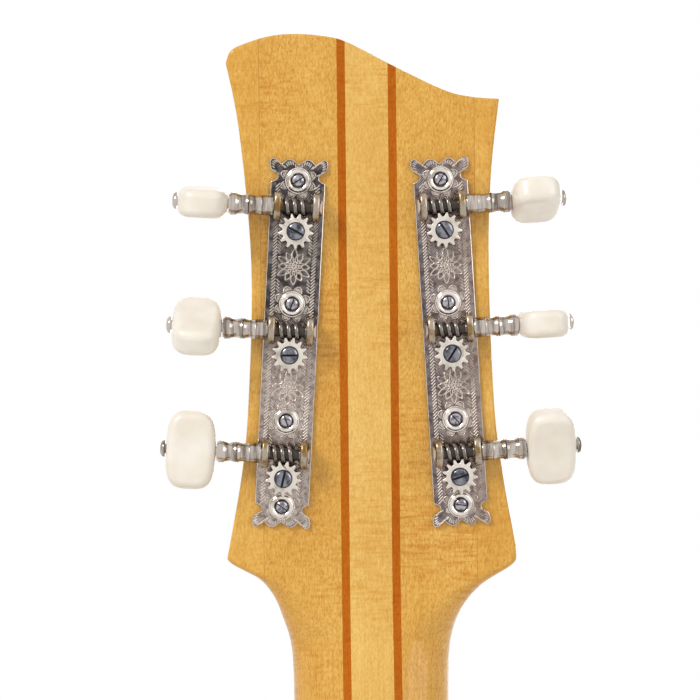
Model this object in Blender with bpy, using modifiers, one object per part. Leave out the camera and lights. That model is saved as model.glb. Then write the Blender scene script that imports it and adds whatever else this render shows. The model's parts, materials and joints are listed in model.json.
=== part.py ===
"""A six-string arched-top guitar, hanging upright by its head, at its real size in metres.

+Z runs up along the neck, the back of the guitar faces -Y and the bass side is at +X.
The origin lies at the shoulders of the head, where a hanger's yoke carries the guitar,
in the plane where the fingerboard is glued to the neck.
"""

import math

import bmesh
import bpy
from mathutils import Matrix, Vector
from mathutils.geometry import interpolate_bezier

MM = 0.001
FIT = 0.3 * MM  # clearance between pieces that touch
GLUE = 0.1 * MM  # glue line between flat faces
OVERLAP = 1.0 * MM  # how far shapes that are joined run into each other

# String scale and neck
SCALE_LENGTH = 640.0 * MM
FRETS = 20
BODY_FRET = 14
NUT_BELOW_YOKE = 15.0 * MM
NUT_WIDTH = 44.5 * MM
NUT_THICKNESS = 4.6 * MM
NUT_HEIGHT = 8.2 * MM
NUT_STRING_HEIGHT = 7.3 * MM
NECK_DEPTH = 15.5 * MM
NECK_DEPTH_GROWTH = 2.5 * MM
BOARD_THICKNESS = 6.0 * MM
BOARD_END_WIDTH = 55.5 * MM
BOARD_OVERHANG = 5.0 * MM
FRET_WIDTH = 2.2 * MM
FRET_HEIGHT = 1.0 * MM
CENTRE_STRIP_WIDTH = 12.1 * MM
DARK_STRIP_WIDTH = 2.35 * MM

# Head
HEAD_ANGLE = math.radians(12.5)
HEAD_THICKNESS = 13.0 * MM
VENEER_THICKNESS = 2.0 * MM
HEAD_EDGE_ROUND = 1.2 * MM

# Tuners, from the axis of each gear
TUNER_SPACING = 35.0 * MM
TREBLE_GEAR = (-20.5 * MM, 117.4 * MM)
BASS_GEAR = (21.5 * MM, 117.4 * MM)
TREBLE_SPLAY = math.radians(3.5)
BASS_SPLAY = math.radians(3.1)
PLATE_WIDTH = 15.4 * MM
PLATE_THICKNESS = 1.0 * MM
PLATE_ABOVE_GEAR = 13.8 * MM
PLATE_BELOW_GEAR = 7.6 * MM
CROWN_HEIGHT = 6.7 * MM
BOSS_RADIUS = 3.55 * MM
BOSS_HEIGHT = 0.8 * MM
PLATE_SCREW_BORE = 1.9 * MM
GEAR_TEETH = 13
WORM_PITCH = 2.2 * MM
WORM_TO_GEAR = 6.9 * MM
WORM_CORE_RADIUS = 1.7 * MM
THREAD_RADIUS = 0.5 * MM
THREAD_TURNS = 3.25
STEPS_A_TURN = 8
GEAR_OUTER_RADIUS = 5.05 * MM
GEAR_ROOT_RADIUS = 3.85 * MM
GEAR_THICKNESS = 2.4 * MM
TOOTH_TIP_WIDTH = 0.55 * MM
TOOTH_ROOT_WIDTH = 1.2 * MM
WORM_CLEARANCE = 0.25 * MM
EAR_THICKNESS = 2.0 * MM
EAR_WIDTH = 8.1 * MM
EAR_SPACING = 10.9 * MM
EAR_TOP = 2.7 * MM
JOURNAL_RADIUS = 1.5 * MM
JOURNAL_CLEARANCE = 0.15 * MM
STUB_RADIUS = 2.45 * MM
STUB_LENGTH = 0.6 * MM
STEM_LENGTH = 12.4 * MM
STEM_RADIUS = 2.85 * MM
COLLAR_RADIUS = 3.15 * MM
COLLAR_LENGTH = 2.0 * MM
TANG_RADIUS = 1.4 * MM
RIVET_RADIUS = 2.35 * MM
RIVET_HEIGHT = 1.4 * MM
BUTTON_LENGTH = 14.0 * MM
BUTTON_BREADTH = 22.0 * MM
BUTTON_THICKNESS = 7.9 * MM
BUTTON_EDGE_ROUND = 1.6 * MM
POST_RADIUS = 3.1 * MM
POST_ABOVE_HEAD = 16.0 * MM
POST_WAIST_RADIUS = 2.6 * MM
POST_SQUARE = 3.0 * MM
STRING_HOLE_RADIUS = 0.9 * MM
STRING_HOLE_HEIGHT = 11.0 * MM
GEAR_SCREW_RADIUS = 2.6 * MM
GEAR_SCREW_HEAD = 1.3 * MM
GEAR_SCREW_SHANK = 0.8 * MM
GEAR_SCREW_LENGTH = 5.0 * MM
SLOT_WIDTH = 0.9 * MM
SLOT_DEPTH = 0.6 * MM

# Body, in a frame whose origin is at the middle of its upper edge, on the front rim of the ribs
BODY_TILT = math.radians(3.5)
BODY_BELOW_BOARD = 10.5 * MM
BODY_LENGTH = 490.0 * MM
UPPER_BOUT = 300.0 * MM
WAIST = 250.0 * MM
LOWER_BOUT = 420.0 * MM
UPPER_BOUT_AT = 105.0 * MM
WAIST_AT = 205.0 * MM
LOWER_BOUT_AT = 352.0 * MM
RIB_DEPTH = 80.0 * MM
RIB_THICKNESS = 3.0 * MM
PLATE_WOOD = 4.5 * MM
ARCH_HEIGHT = 7.0 * MM
RIM_FLAT = 12.0 * MM
ARCH_RUN = 26.0 * MM
BLOCK_WIDTH = 66.0 * MM
NECK_BLOCK_LENGTH = 45.0 * MM
END_BLOCK_LENGTH = 22.0 * MM
TENON_WIDTH = 24.0 * MM
TENON_LENGTH = 16.0 * MM
TONE_BAR_LENGTH = 300.0 * MM
TONE_BAR_WIDTH = 8.0 * MM
TONE_BAR_HEIGHT = 12.0 * MM
TONE_BAR_OFFSET = 38.0 * MM
EYE_RADIUS = 7.5 * MM
STEM_WIDTH = 8.0 * MM

# Bridge and tailpiece
STRING_SPREAD_NUT = 36.0 * MM
STRING_SPREAD_BRIDGE = 52.0 * MM
STRING_RADII = (0.15 * MM, 0.2 * MM, 0.28 * MM, 0.38 * MM, 0.52 * MM, 0.66 * MM)
SADDLE_STRING_HEIGHT = 10.8 * MM
BRIDGE_LENGTH = 150.0 * MM
BRIDGE_WIDTH = 14.0 * MM
BRIDGE_BASE_HEIGHT = 9.0 * MM
BRIDGE_END_HEIGHT = 4.0 * MM
BRIDGE_END_RUN = 12.0 * MM
BRIDGE_ARCH_HEIGHT = 2.0 * MM
SADDLE_LENGTH = 116.0 * MM
SADDLE_WIDTH = 8.0 * MM
SADDLE_END_HEIGHT = 5.0 * MM
SADDLE_SHOULDER = 6.0 * MM
STUD_SPACING = 76.0 * MM
STUD_RADIUS = 2.0 * MM
STUD_BELOW_CREST = 4.0 * MM
WHEEL_RADIUS = 8.0 * MM
WHEEL_THICKNESS = 2.4 * MM
WHEEL_GAP = 2.2 * MM
WHEEL_NOTCHES = 24
WHEEL_NOTCH_DEPTH = 0.5 * MM
TAILPIECE_WIDTH = 84.0 * MM
TAILPIECE_LENGTH = 125.0 * MM
TAILPIECE_THICKNESS = 3.0 * MM
TAILPIECE_HEIGHT = 17.0 * MM
TAIL_CORNER = 6.0 * MM
TAIL_TAPER = 4.0 * MM
TAIL_HEAD_LENGTH = 24.0 * MM
TAIL_BAR_INSET = 3.0 * MM
TAIL_BAR_LENGTH = 11.0 * MM
TAIL_BAR_HEIGHT = 5.0 * MM
TAIL_TAB_WIDTH = 24.0 * MM
TAIL_TAB_LENGTH = 26.0 * MM
TAIL_TAB_BELOW_PIN = 9.0 * MM
END_PIN_RADIUS = 3.5 * MM
END_PIN_HEAD = 15.0 * MM
PICKGUARD_THICKNESS = 2.5 * MM
PICKGUARD_WIDTH = 42.0 * MM
PICKGUARD_BELOW_JOIN = 30.0 * MM
PICKGUARD_ABOVE_BRIDGE = 22.0 * MM
BRACKET_WIDTH = 8.0 * MM
BRACKET_THICKNESS = 2.0 * MM
BRACKET_INSET = 14.0 * MM

# Where the main pieces meet, worked out from the sizes above
NUT_Z = -NUT_BELOW_YOKE
BOARD_TOP_Z = NUT_Z - NUT_THICKNESS - 2 * FIT
HEAD_BACK = -HEAD_THICKNESS
PLATE_LENGTH = PLATE_ABOVE_GEAR + 2 * TUNER_SPACING + PLATE_BELOW_GEAR
WORM_RADIUS = WORM_CORE_RADIUS + 2 * THREAD_RADIUS - 0.1 * MM
WORM_HEIGHT = PLATE_THICKNESS + WORM_RADIUS + WORM_CLEARANCE
GEAR_BOTTOM = WORM_HEIGHT - GEAR_THICKNESS / 2
EAR_OUTER = EAR_SPACING / 2 + EAR_THICKNESS / 2
EAR_INNER = EAR_SPACING / 2 - EAR_THICKNESS / 2
STEM_START = EAR_OUTER + FIT
BUTTON_START = STEM_START + STEM_LENGTH + FIT
PLATEAU = PLATE_WOOD + ARCH_HEIGHT


def fret_distance(number):
    """Distance of a fret from the nut's edge, by the twelfth root of two."""
    return SCALE_LENGTH * (1 - 2 ** (-number / 12))


JOIN_Z = BOARD_TOP_Z - fret_distance(BODY_FRET)
BOARD_LENGTH = fret_distance(FRETS) + BOARD_OVERHANG
BRIDGE_Z = BOARD_TOP_Z - SCALE_LENGTH

COLOURS = {
    "maple": ((0.72, 0.38, 0.11), 0.35, 0.0),
    "maple_centre": ((0.78, 0.46, 0.16), 0.35, 0.0),
    "mahogany": ((0.45, 0.12, 0.02), 0.35, 0.0),
    "spruce": ((0.80, 0.50, 0.20), 0.35, 0.0),
    "ebony": ((0.02, 0.015, 0.012), 0.45, 0.0),
    "bone": ((0.85, 0.80, 0.66), 0.4, 0.0),
    "ivoroid": ((0.86, 0.79, 0.70), 0.3, 0.0),
    "nickel": ((0.45, 0.42, 0.40), 0.3, 1.0),
    "gear_nickel": ((0.58, 0.55, 0.50), 0.35, 1.0),
    "blued_steel": ((0.12, 0.12, 0.15), 0.3, 1.0),
    "steel": ((0.55, 0.55, 0.55), 0.25, 1.0),
    "bronze": ((0.55, 0.36, 0.18), 0.35, 1.0),
    "tortoise": ((0.09, 0.03, 0.015), 0.25, 0.0),
}


def clear_scene():
    for obj in list(bpy.data.objects):
        bpy.data.objects.remove(obj, do_unlink=True)


def new_collection(name):
    collection = bpy.data.collections.new(name)
    bpy.context.scene.collection.children.link(collection)
    return collection


clear_scene()
PARTS = new_collection("guitar")
CUTTERS = new_collection("cutters")


def material(name):
    found = bpy.data.materials.get(name)
    if found:
        return found
    colour, roughness, metallic = COLOURS[name]
    made = bpy.data.materials.new(name)
    made.use_nodes = True
    shader = made.node_tree.nodes["Principled BSDF"]
    shader.inputs["Base Color"].default_value = (*colour, 1)
    shader.inputs["Roughness"].default_value = roughness
    shader.inputs["Metallic"].default_value = metallic
    return made


# Helpers that make and join meshes


def hidden(name, data):
    """An object for shapes that are cut, joined or used as a cutter."""
    obj = bpy.data.objects.new(name, data)
    CUTTERS.objects.link(obj)
    obj.hide_render = True
    obj.display_type = "WIRE"
    return obj


def baked(obj):
    """The object's evaluated mesh, welded, in its own coordinates; the object is removed."""
    bpy.context.view_layer.update()
    graph = bpy.context.evaluated_depsgraph_get()
    mesh = bpy.data.meshes.new_from_object(obj.evaluated_get(graph))
    shape = bmesh.new()
    shape.from_mesh(mesh)
    bmesh.ops.remove_doubles(shape, verts=shape.verts, dist=1e-6)
    bmesh.ops.recalc_face_normals(shape, faces=shape.faces)
    if shape.calc_volume(signed=True) < 0:
        bmesh.ops.reverse_faces(shape, faces=shape.faces)
    shape.to_mesh(mesh)
    shape.free()
    bpy.data.objects.remove(obj, do_unlink=True)
    return mesh


def moved(mesh, matrix):
    mesh.transform(matrix)
    return mesh


def flat(outline, thickness, holes=(), bevel=0.0):
    """A flat outline in X and Y, from z = 0 to its thickness."""
    curve = bpy.data.curves.new("outline", "CURVE")
    curve.dimensions = "2D"
    curve.fill_mode = "BOTH"
    curve.extrude = thickness / 2
    for points in (outline, *holes):
        spline = curve.splines.new("POLY")
        spline.points.add(len(points) - 1)
        for target, (x, y) in zip(spline.points, points):
            target.co = (x, y, 0, 1)
        spline.use_cyclic_u = True
    obj = hidden("outline", curve)
    mesh = moved(baked(obj), Matrix.Translation((0, 0, thickness / 2)))
    if not bevel:
        return mesh
    obj = hidden("outline", mesh)
    rounding = obj.modifiers.new("rounding", "BEVEL")
    rounding.width = bevel
    rounding.segments = 1
    rounding.limit_method = "ANGLE"
    rounding.angle_limit = math.radians(40)
    return baked(obj)


def turned(profile, steps):
    """A profile of (radius, height) pairs, from top to bottom, turned about Z."""
    mesh = bpy.data.meshes.new("profile")
    points = [(radius, 0, height) for radius, height in profile]
    mesh.from_pydata(points, [(i, i + 1) for i in range(len(points) - 1)], [])
    obj = hidden("profile", mesh)
    screw = obj.modifiers.new("turn", "SCREW")
    screw.axis = "Z"
    screw.steps = steps
    screw.render_steps = steps
    screw.use_merge_vertices = True
    screw.merge_threshold = 1e-5
    return baked(obj)


def rod(radius, length, steps=10):
    """A cylinder along Z, centred on the origin."""
    shape = bmesh.new()
    bmesh.ops.create_cone(
        shape, cap_ends=True, segments=steps, radius1=radius, radius2=radius, depth=length
    )
    mesh = bpy.data.meshes.new("rod")
    shape.to_mesh(mesh)
    shape.free()
    return mesh


def block(low, high):
    """A box between two corners."""
    size = Vector(high) - Vector(low)
    middle = (Vector(high) + Vector(low)) / 2
    shape = bmesh.new()
    bmesh.ops.create_cube(shape, size=1)
    mesh = bpy.data.meshes.new("block")
    shape.to_mesh(mesh)
    shape.free()
    return moved(mesh, Matrix.Translation(middle) @ Matrix.Diagonal((*size, 1)))


def tube(points, radius, resolution=1):
    """A round tube along a chain of points."""
    curve = bpy.data.curves.new("tube", "CURVE")
    curve.dimensions = "3D"
    curve.bevel_depth = radius
    curve.bevel_resolution = resolution
    curve.use_fill_caps = True
    spline = curve.splines.new("POLY")
    spline.points.add(len(points) - 1)
    for target, point in zip(spline.points, points):
        target.co = (*point, 1)
    return baked(hidden("tube", curve))


def combined(base, others, operation, solver="EXACT"):
    """The base mesh joined with, cut by or kept inside the other meshes."""
    obj = hidden("base", base)
    tools = []
    for other in others:
        tool = hidden("tool", other)
        tools.append(tool)
        modifier = obj.modifiers.new("combine", "BOOLEAN")
        modifier.operation = operation
        modifier.solver = solver
        modifier.object = tool
    mesh = baked(obj)
    for tool in tools:
        bpy.data.objects.remove(tool, do_unlink=True)
    return mesh


def joined(base, *others):
    return combined(base, others, "UNION")


def cut(base, *others):
    return combined(base, others, "DIFFERENCE")


def kept(base, *others):
    return combined(base, others, "INTERSECT")


def loft(sections):
    """A closed body through rings of points, each ring with as many points."""
    shape = bmesh.new()
    rings = []
    for section in sections:
        rings.append([shape.verts.new(point) for point in section])
    count = len(rings[0])
    for lower, upper in zip(rings, rings[1:]):
        for i in range(count):
            j = (i + 1) % count
            shape.faces.new((lower[i], lower[j], upper[j], upper[i]))
    shape.faces.new(rings[0][::-1])
    shape.faces.new(rings[-1])
    bmesh.ops.recalc_face_normals(shape, faces=shape.faces)
    mesh = bpy.data.meshes.new("loft")
    shape.to_mesh(mesh)
    shape.free()
    return mesh


def frame(name, parent, matrix):
    """An empty that places what belongs to it."""
    empty = bpy.data.objects.new(name, None)
    PARTS.objects.link(empty)
    empty.parent = parent
    empty.matrix_local = matrix
    empty.empty_display_size = 0.01
    bpy.context.view_layer.update()
    return empty


def part(name, mesh, colour, parent, matrix=Matrix.Identity(4)):
    """A named piece of the guitar."""
    obj = bpy.data.objects.new(name, mesh)
    PARTS.objects.link(obj)
    obj.parent = parent
    obj.matrix_local = matrix
    mesh.materials.clear()
    mesh.materials.append(material(colour))
    mesh.shade_smooth()
    mesh.set_sharp_from_angle(angle=math.radians(35))
    return obj


def turn(degrees, axis):
    return Matrix.Rotation(math.radians(degrees), 4, axis)


def shift(x, y, z):
    return Matrix.Translation((x, y, z))


NECK = frame("neck_frame", None, Matrix.Identity(4))
HEAD = frame("head_frame", NECK, shift(0, 0, NUT_Z) @ Matrix.Rotation(HEAD_ANGLE, 4, "X"))
BODY = frame(
    "body_frame",
    NECK,
    shift(0, -BODY_BELOW_BOARD, JOIN_Z) @ Matrix.Rotation(-BODY_TILT, 4, "X"),
)

# A flat outline lies in X and Y. This turns it to stand in X and Z, its thickness towards -Y.
STAND = turn(90, "X")
# And this one makes it stand in Y and Z, its thickness towards +X
EDGEWAYS = turn(90, "Z") @ STAND


# Outlines


def circle(radius, steps):
    angles = [2 * math.pi * step / steps for step in range(steps)]
    return [(radius * math.cos(angle), radius * math.sin(angle)) for angle in angles]


def smooth(points, steps=2):
    """A Catmull-Rom curve through the points, open at both ends."""
    ends = [points[0], *points, points[-1]]
    made = []
    for a, b, c, d in zip(ends, ends[1:], ends[2:], ends[3:]):
        for step in range(steps):
            t = step / steps
            made.append(
                tuple(
                    0.5
                    * (
                        2 * q
                        + (r - p) * t
                        + (2 * p - 5 * q + 4 * r - s) * t * t
                        + (3 * q - p - 3 * r + s) * t ** 3
                    )
                    for p, q, r, s in zip(a, b, c, d)
                )
            )
    return [*made, points[-1]]


def millimetres(points):
    return [(x * MM, y * MM) for x, y in points]


# The head's edges, in millimetres from the nut, as (across, up) seen from the back
HEAD_TOP_EDGE = (
    (-39.8, 165.3),
    (-33.4, 171.1),
    (-21, 173.4),
    (-5.4, 171.0),
    (8.1, 164.0),
    (21.5, 157.5),
    (37.8, 154.6),
)
HEAD_BASS_EDGE = ((37.8, 154.6), (35.3, 133), (34.5, 107), (35.6, 70), (37.8, 49), (41.7, 25))
HEAD_TREBLE_EDGE = ((-40.8, 25.5), (-36.5, 49), (-34.4, 70), (-33.2, 108), (-36.2, 145.6), (-39.8, 165.3))
# Where the head runs down into the neck: height, half width to each side, how square the back is, depth
HEAD_FLARE = (
    (30.0, 39.2, 40.2, 12.0, 12.9),
    (25.9, 40.7, 41.6, 9.0, 13.0),
    (23.0, 40.2, 41.6, 8.0, 13.0),
    (20.4, 35.8, 39.2, 7.0, 13.1),
    (16.2, 30.1, 32.6, 5.5, 13.4),
    (11.2, 27.1, 28.0, 4.0, 13.9),
    (6.0, 25.3, 25.2, 3.0, 14.5),
    (1.0, 23.8, 23.8, 2.5, 15.2),
)
# How the heel deepens: height above the body's edge, depth, share of the neck's width
HEEL = (
    (75, 17.8, 1.0),
    (50, 20.5, 1.0),
    (34, 28, 0.98),
    (21, 42, 0.93),
    (12, 62, 0.87),
    (6, 80, 0.82),
)
HEEL_END_SHARE = 0.8
SECTION_STEPS = 12
NECK_SQUARENESS = 2.3
HEEL_SQUARENESS = 2.5
BODY_CURVE_POINTS = 7


def head_outline():
    top = smooth(millimetres(HEAD_TOP_EDGE))
    bass = smooth(millimetres(HEAD_BASS_EDGE))
    treble = smooth(millimetres(HEAD_TREBLE_EDGE))
    return [*top[:-1], *bass, *treble[:-1]]


def d_section(left, right, depth, squareness):
    """The front corners and the rounded back of a section, seen from above."""
    points = []
    for step in range(SECTION_STEPS + 1):
        angle = math.pi * step / SECTION_STEPS
        across = abs(math.cos(angle)) ** (2 / squareness)
        back = math.sin(angle) ** (2 / squareness) if 0 < step < SECTION_STEPS else 0
        side = right if step < SECTION_STEPS / 2 else -left
        points.append((side * across, -depth * back))
    return points


def board_half_width(distance):
    """Half the width of the fingerboard, so far below its upper end."""
    share = distance / BOARD_LENGTH
    return (NUT_WIDTH + (BOARD_END_WIDTH - NUT_WIDTH) * share) / 2


def body_half():
    """One side of the body's outline in X and Z, from the middle of its top to the middle of its tail."""
    upper = UPPER_BOUT / 2
    waist = WAIST / 2
    lower = LOWER_BOUT / 2
    # Each knot stands between the handle that arrives at it and the one that leaves it
    corners = (
        ((0, 0), (upper * 0.74, 0)),
        ((upper, UPPER_BOUT_AT * -0.42), (upper, -UPPER_BOUT_AT), (upper, UPPER_BOUT_AT * -1.36)),
        ((waist, WAIST_AT * -0.8), (waist, -WAIST_AT), (waist, WAIST_AT * -1.22)),
        ((lower, LOWER_BOUT_AT * -0.78), (lower, -LOWER_BOUT_AT), (lower, LOWER_BOUT_AT * -1.21)),
        ((lower * 0.6, -BODY_LENGTH), (0, -BODY_LENGTH)),
    )
    knots = [corners[0][0]]
    handles = [corners[0][1]]
    points = []
    for arrive, knot, *leave in corners[1:]:
        ends = [Vector((*place, 0)) for place in (knots[-1], handles[-1], arrive, knot)]
        segment = interpolate_bezier(*ends, BODY_CURVE_POINTS)
        points.extend((point.x, point.y) for point in segment[:-1])
        knots.append(knot)
        handles.append(leave[0] if leave else knot)
    return [*points, knots[-1]]


def body_outline():
    half = body_half()
    other = [(-x, z) for x, z in half[-2:0:-1]]
    return [*half, *other]


def offset(outline, distance):
    """A closed clockwise outline moved outwards by a distance, inwards if it is negative."""
    made = []
    for before, here, after in zip(outline[-1:] + outline[:-1], outline, outline[1:] + outline[:1]):
        along = Vector((after[0] - before[0], after[1] - before[1])).normalized()
        made.append((here[0] - along.y * distance, here[1] + along.x * distance))
    return made


def body_prism(distance, front, back):
    """The body's outline, moved outwards, as a solid between two depths."""
    mesh = flat(offset(body_outline(), distance), front - back)
    return moved(mesh, shift(0, front, 0) @ STAND)


# Neck and head


def neck_blank():
    """The whole neck with its head, heel and tenon, before it is split into its strips."""
    rings = []
    for height, left, right, squareness, depth in HEAD_FLARE:
        section = d_section(left * MM, right * MM, depth * MM, squareness)
        rings.append([HEAD.matrix_local @ Vector((x, y, height * MM)) for x, y in section])
    section = d_section(NUT_WIDTH / 2, NUT_WIDTH / 2, NECK_DEPTH, NECK_SQUARENESS)
    rings.append([Vector((x, y, BOARD_TOP_Z)) for x, y in section])
    reach = BOARD_TOP_Z - JOIN_Z
    first_fret = fret_distance(1)
    span = reach - first_fret - HEEL[0][0] * MM
    for share in (0, 0.5):
        below = first_fret + share * span
        half = board_half_width(below)
        section = d_section(half, half, NECK_DEPTH + NECK_DEPTH_GROWTH * share, NECK_SQUARENESS)
        rings.append([Vector((x, y, BOARD_TOP_Z - below)) for x, y in section])
    for height, depth, share in HEEL:
        front = board_half_width(reach - height * MM)
        section = d_section(front * share, front * share, depth * MM, NECK_SQUARENESS)
        section[0] = (front, 0)
        section[-1] = (-front, 0)
        rings.append([Vector((x, y, JOIN_Z + height * MM)) for x, y in section])
    front = board_half_width(reach)
    half = front * HEEL_END_SHARE
    section = d_section(half, half, BODY_BELOW_BOARD + RIB_DEPTH, HEEL_SQUARENESS)
    section[0] = (front, 0)
    section[-1] = (-front, 0)
    below_join = JOIN_Z - 4 * OVERLAP
    rings.append([Vector((x, y, below_join - y * math.tan(BODY_TILT))) for x, y in section])
    neck = loft(rings)

    head = flat(head_outline(), HEAD_THICKNESS, bevel=HEAD_EDGE_ROUND)
    head = moved(head, HEAD.matrix_local @ STAND)
    blank = joined(neck, head)
    in_body = BODY.matrix_local
    room = moved(body_prism(FIT, 4 * PLATEAU, -2 * RIB_DEPTH), in_body)
    half = TENON_WIDTH / 2
    tenon = block((-half, -RIB_DEPTH + FIT, -TENON_LENGTH), (half, -FIT, 2 * OVERLAP))
    return joined(cut(blank, room), moved(tenon, in_body))


def tuner_places():
    """Each tuner as (string number, side, its plate's frame, place along the plate), from the top down."""
    places = []
    for side, plate in ((-1, TREBLE_PLATE), (1, BASS_PLATE)):
        for row in range(3):
            number = 3 - row if side < 0 else 4 + row
            places.append((number, side, plate, -row * TUNER_SPACING))
    return places


def plate_frame(name, gear, splay):
    """A frame on the back of the head: X across, Y up along the plate, Z out of the back."""
    x, z = gear
    matrix = shift(x, HEAD_BACK - GLUE, z) @ STAND @ Matrix.Rotation(splay, 4, "Z")
    return frame(name, HEAD, matrix)


TREBLE_PLATE = plate_frame("treble_plate_frame", TREBLE_GEAR, -TREBLE_SPLAY)
BASS_PLATE = plate_frame("bass_plate_frame", BASS_GEAR, BASS_SPLAY)


def post_holes(in_frame):
    """Rods where the posts pass through the head, in the neck's or the head's frame."""
    rods = []
    length = 4 * HEAD_THICKNESS
    for number, side, plate, along in tuner_places():
        place = plate.matrix_local @ shift(0, along, 0)
        if in_frame == "neck":
            place = HEAD.matrix_local @ place
        rods.append(moved(rod(POST_RADIUS + FIT, length), place))
    return rods


def make_neck():
    blank = cut(neck_blank(), *post_holes("neck"))
    centre = CENTRE_STRIP_WIDTH / 2
    dark = centre + DARK_STRIP_WIDTH
    wide = 4 * NUT_WIDTH
    strips = (
        ("neck_core", "maple_centre", -centre, centre),
        ("neck_stripe_treble", "mahogany", -dark, -centre - GLUE),
        ("neck_stripe_bass", "mahogany", centre + GLUE, dark),
        ("neck_wing_treble", "maple", -wide, -dark - GLUE),
        ("neck_wing_bass", "maple", dark + GLUE, wide),
    )
    for name, colour, low, high in strips:
        slab = block((low, -1, -1), (high, 1, 1))
        # The exact solver loses the long flat cuts through the head's rounded edges
        part(name, combined(blank.copy(), [slab], "INTERSECT", "MANIFOLD"), colour, NECK)


def make_veneer():
    """The thin sheet on the front of the head, from the nut up."""
    flare = HEAD_FLARE[2:]
    bass_flare = [(right * MM, height * MM) for height, left, right, squareness, depth in flare]
    treble_flare = [(-left * MM, height * MM) for height, left, right, squareness, depth in flare]
    outline = head_outline()
    corner = len(smooth(HEAD_TOP_EDGE)) - 1 + len(smooth(HEAD_BASS_EDGE))
    outline[corner:corner] = [*bass_flare, *treble_flare[::-1]]
    sheet = flat(outline, VENEER_THICKNESS)
    sheet = moved(sheet, shift(0, VENEER_THICKNESS + GLUE, 0) @ STAND)
    part("head_veneer", cut(sheet, *post_holes("head")), "maple", HEAD)


def string_x(number, spread):
    """Where a string runs across: 1 is the thinnest, on the treble side."""
    return spread * (number - 3.5) / 5


def make_nut():
    half = NUT_WIDTH / 2
    body = block((-half, GLUE, BOARD_TOP_Z + FIT), (half, NUT_HEIGHT, BOARD_TOP_Z + FIT + NUT_THICKNESS))
    slots = []
    for number, radius in enumerate(STRING_RADII, 1):
        x = string_x(number, STRING_SPREAD_NUT)
        low = (x - radius - FIT, NUT_STRING_HEIGHT - FIT, BOARD_TOP_Z - NUT_THICKNESS)
        high = (x + radius + FIT, 2 * NUT_HEIGHT, BOARD_TOP_Z + 3 * NUT_THICKNESS)
        slots.append(block(low, high))
    part("nut", cut(body, *slots), "bone", NECK)


def make_fingerboard():
    end = BOARD_LENGTH
    top = board_half_width(0)
    bottom = board_half_width(end)
    board = flat([(-top, 0), (top, 0), (bottom, -end), (-bottom, -end)], BOARD_THICKNESS - GLUE)
    board = moved(board, shift(0, BOARD_THICKNESS, BOARD_TOP_Z) @ STAND)
    foot = FRET_WIDTH / 2
    bow = FRET_WIDTH / 4
    # A fret's section along the board and up from it, the foot sunk into the board
    section = (
        (-foot, -OVERLAP),
        (foot, -OVERLAP),
        (foot, 0),
        (bow, FRET_HEIGHT),
        (-bow, FRET_HEIGHT),
        (-foot, 0),
    )
    frets = []
    for number in range(1, FRETS + 1):
        below = fret_distance(number)
        half = board_half_width(below) - FIT
        place = shift(half, BOARD_THICKNESS, BOARD_TOP_Z - below) @ turn(-90, "Y")
        frets.append(moved(flat(section, 2 * half), place))
    part("fingerboard", joined(board, *frets), "ebony", NECK)


# Tuners


def crown(half_width):
    """The right half of a crown at the end of a plate, from its shoulder by its horn to its middle."""
    half = half_width / MM
    points = (
        (half, 0),
        (half - 1.7, 1.2),
        (half - 1.7, 2.3),
        (half - 0.1, 3.0),
        (half + 0.5, 4.5),
        (half + 0.4, 6.0),
        (half - 0.3, 6.7),
        (half - 2.1, 5.0),
        (half - 3.3, 4.6),
        (half - 5.6, 6.6),
        (0, 5.0),
    )
    tallest = max(y for x, y in points)
    return [(x * MM, y / tallest * CROWN_HEIGHT) for x, y in points]


def plate_outline():
    right = crown(PLATE_WIDTH / 2)
    top = [(x, y + PLATE_ABOVE_GEAR) for x, y in right]
    bottom = [(x, PLATE_ABOVE_GEAR - PLATE_LENGTH - y) for x, y in right]
    side = [*bottom[::-1], *top]
    return [*side, *((-x, y) for x, y in side[-2:0:-1])]


def boss_places():
    """Where the plate's screws go, along it from the top gear."""
    return (14.4 * MM, -20.6 * MM, -TUNER_SPACING - 18.8 * MM, -2 * TUNER_SPACING - 8.3 * MM)


def plate_mesh():
    plate = flat(plate_outline(), PLATE_THICKNESS)
    top = PLATE_THICKNESS
    additions = []
    bores = []
    width = EAR_WIDTH / 2
    ear_top = WORM_HEIGHT + EAR_TOP
    shoulder = EAR_TOP / 2
    ear = (
        (-width, 0),
        (-width, WORM_HEIGHT),
        (-width + shoulder, ear_top - shoulder / 2),
        (-shoulder, ear_top),
        (shoulder, ear_top),
        (width - shoulder, ear_top - shoulder / 2),
        (width, WORM_HEIGHT),
        (width, 0),
    )
    for row in range(3):
        along = -row * TUNER_SPACING
        for side in (-1, 1):
            inner = side * EAR_SPACING / 2 - EAR_THICKNESS / 2
            place = shift(inner, along + WORM_TO_GEAR, top / 2) @ EDGEWAYS
            additions.append(moved(flat(ear, EAR_THICKNESS), place))
        bores.append(
            moved(
                rod(JOURNAL_RADIUS + JOURNAL_CLEARANCE, 2 * PLATE_WIDTH),
                shift(0, along + WORM_TO_GEAR, WORM_HEIGHT) @ turn(90, "Y"),
            )
        )
        bores.append(moved(rod(POST_RADIUS + FIT, 8 * top), shift(0, along, 0)))
    for along in boss_places():
        ring = turned(
            (
                (0, top + BOSS_HEIGHT),
                (BOSS_RADIUS - BOSS_HEIGHT, top + BOSS_HEIGHT),
                (BOSS_RADIUS, top),
                (BOSS_RADIUS, top / 2),
                (0, top / 2),
            ),
            12,
        )
        additions.append(moved(ring, shift(0, along, 0)))
        bores.append(moved(rod(PLATE_SCREW_BORE, 8 * top), shift(0, along, 0)))
    return cut(joined(plate, *additions), *bores)


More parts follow.
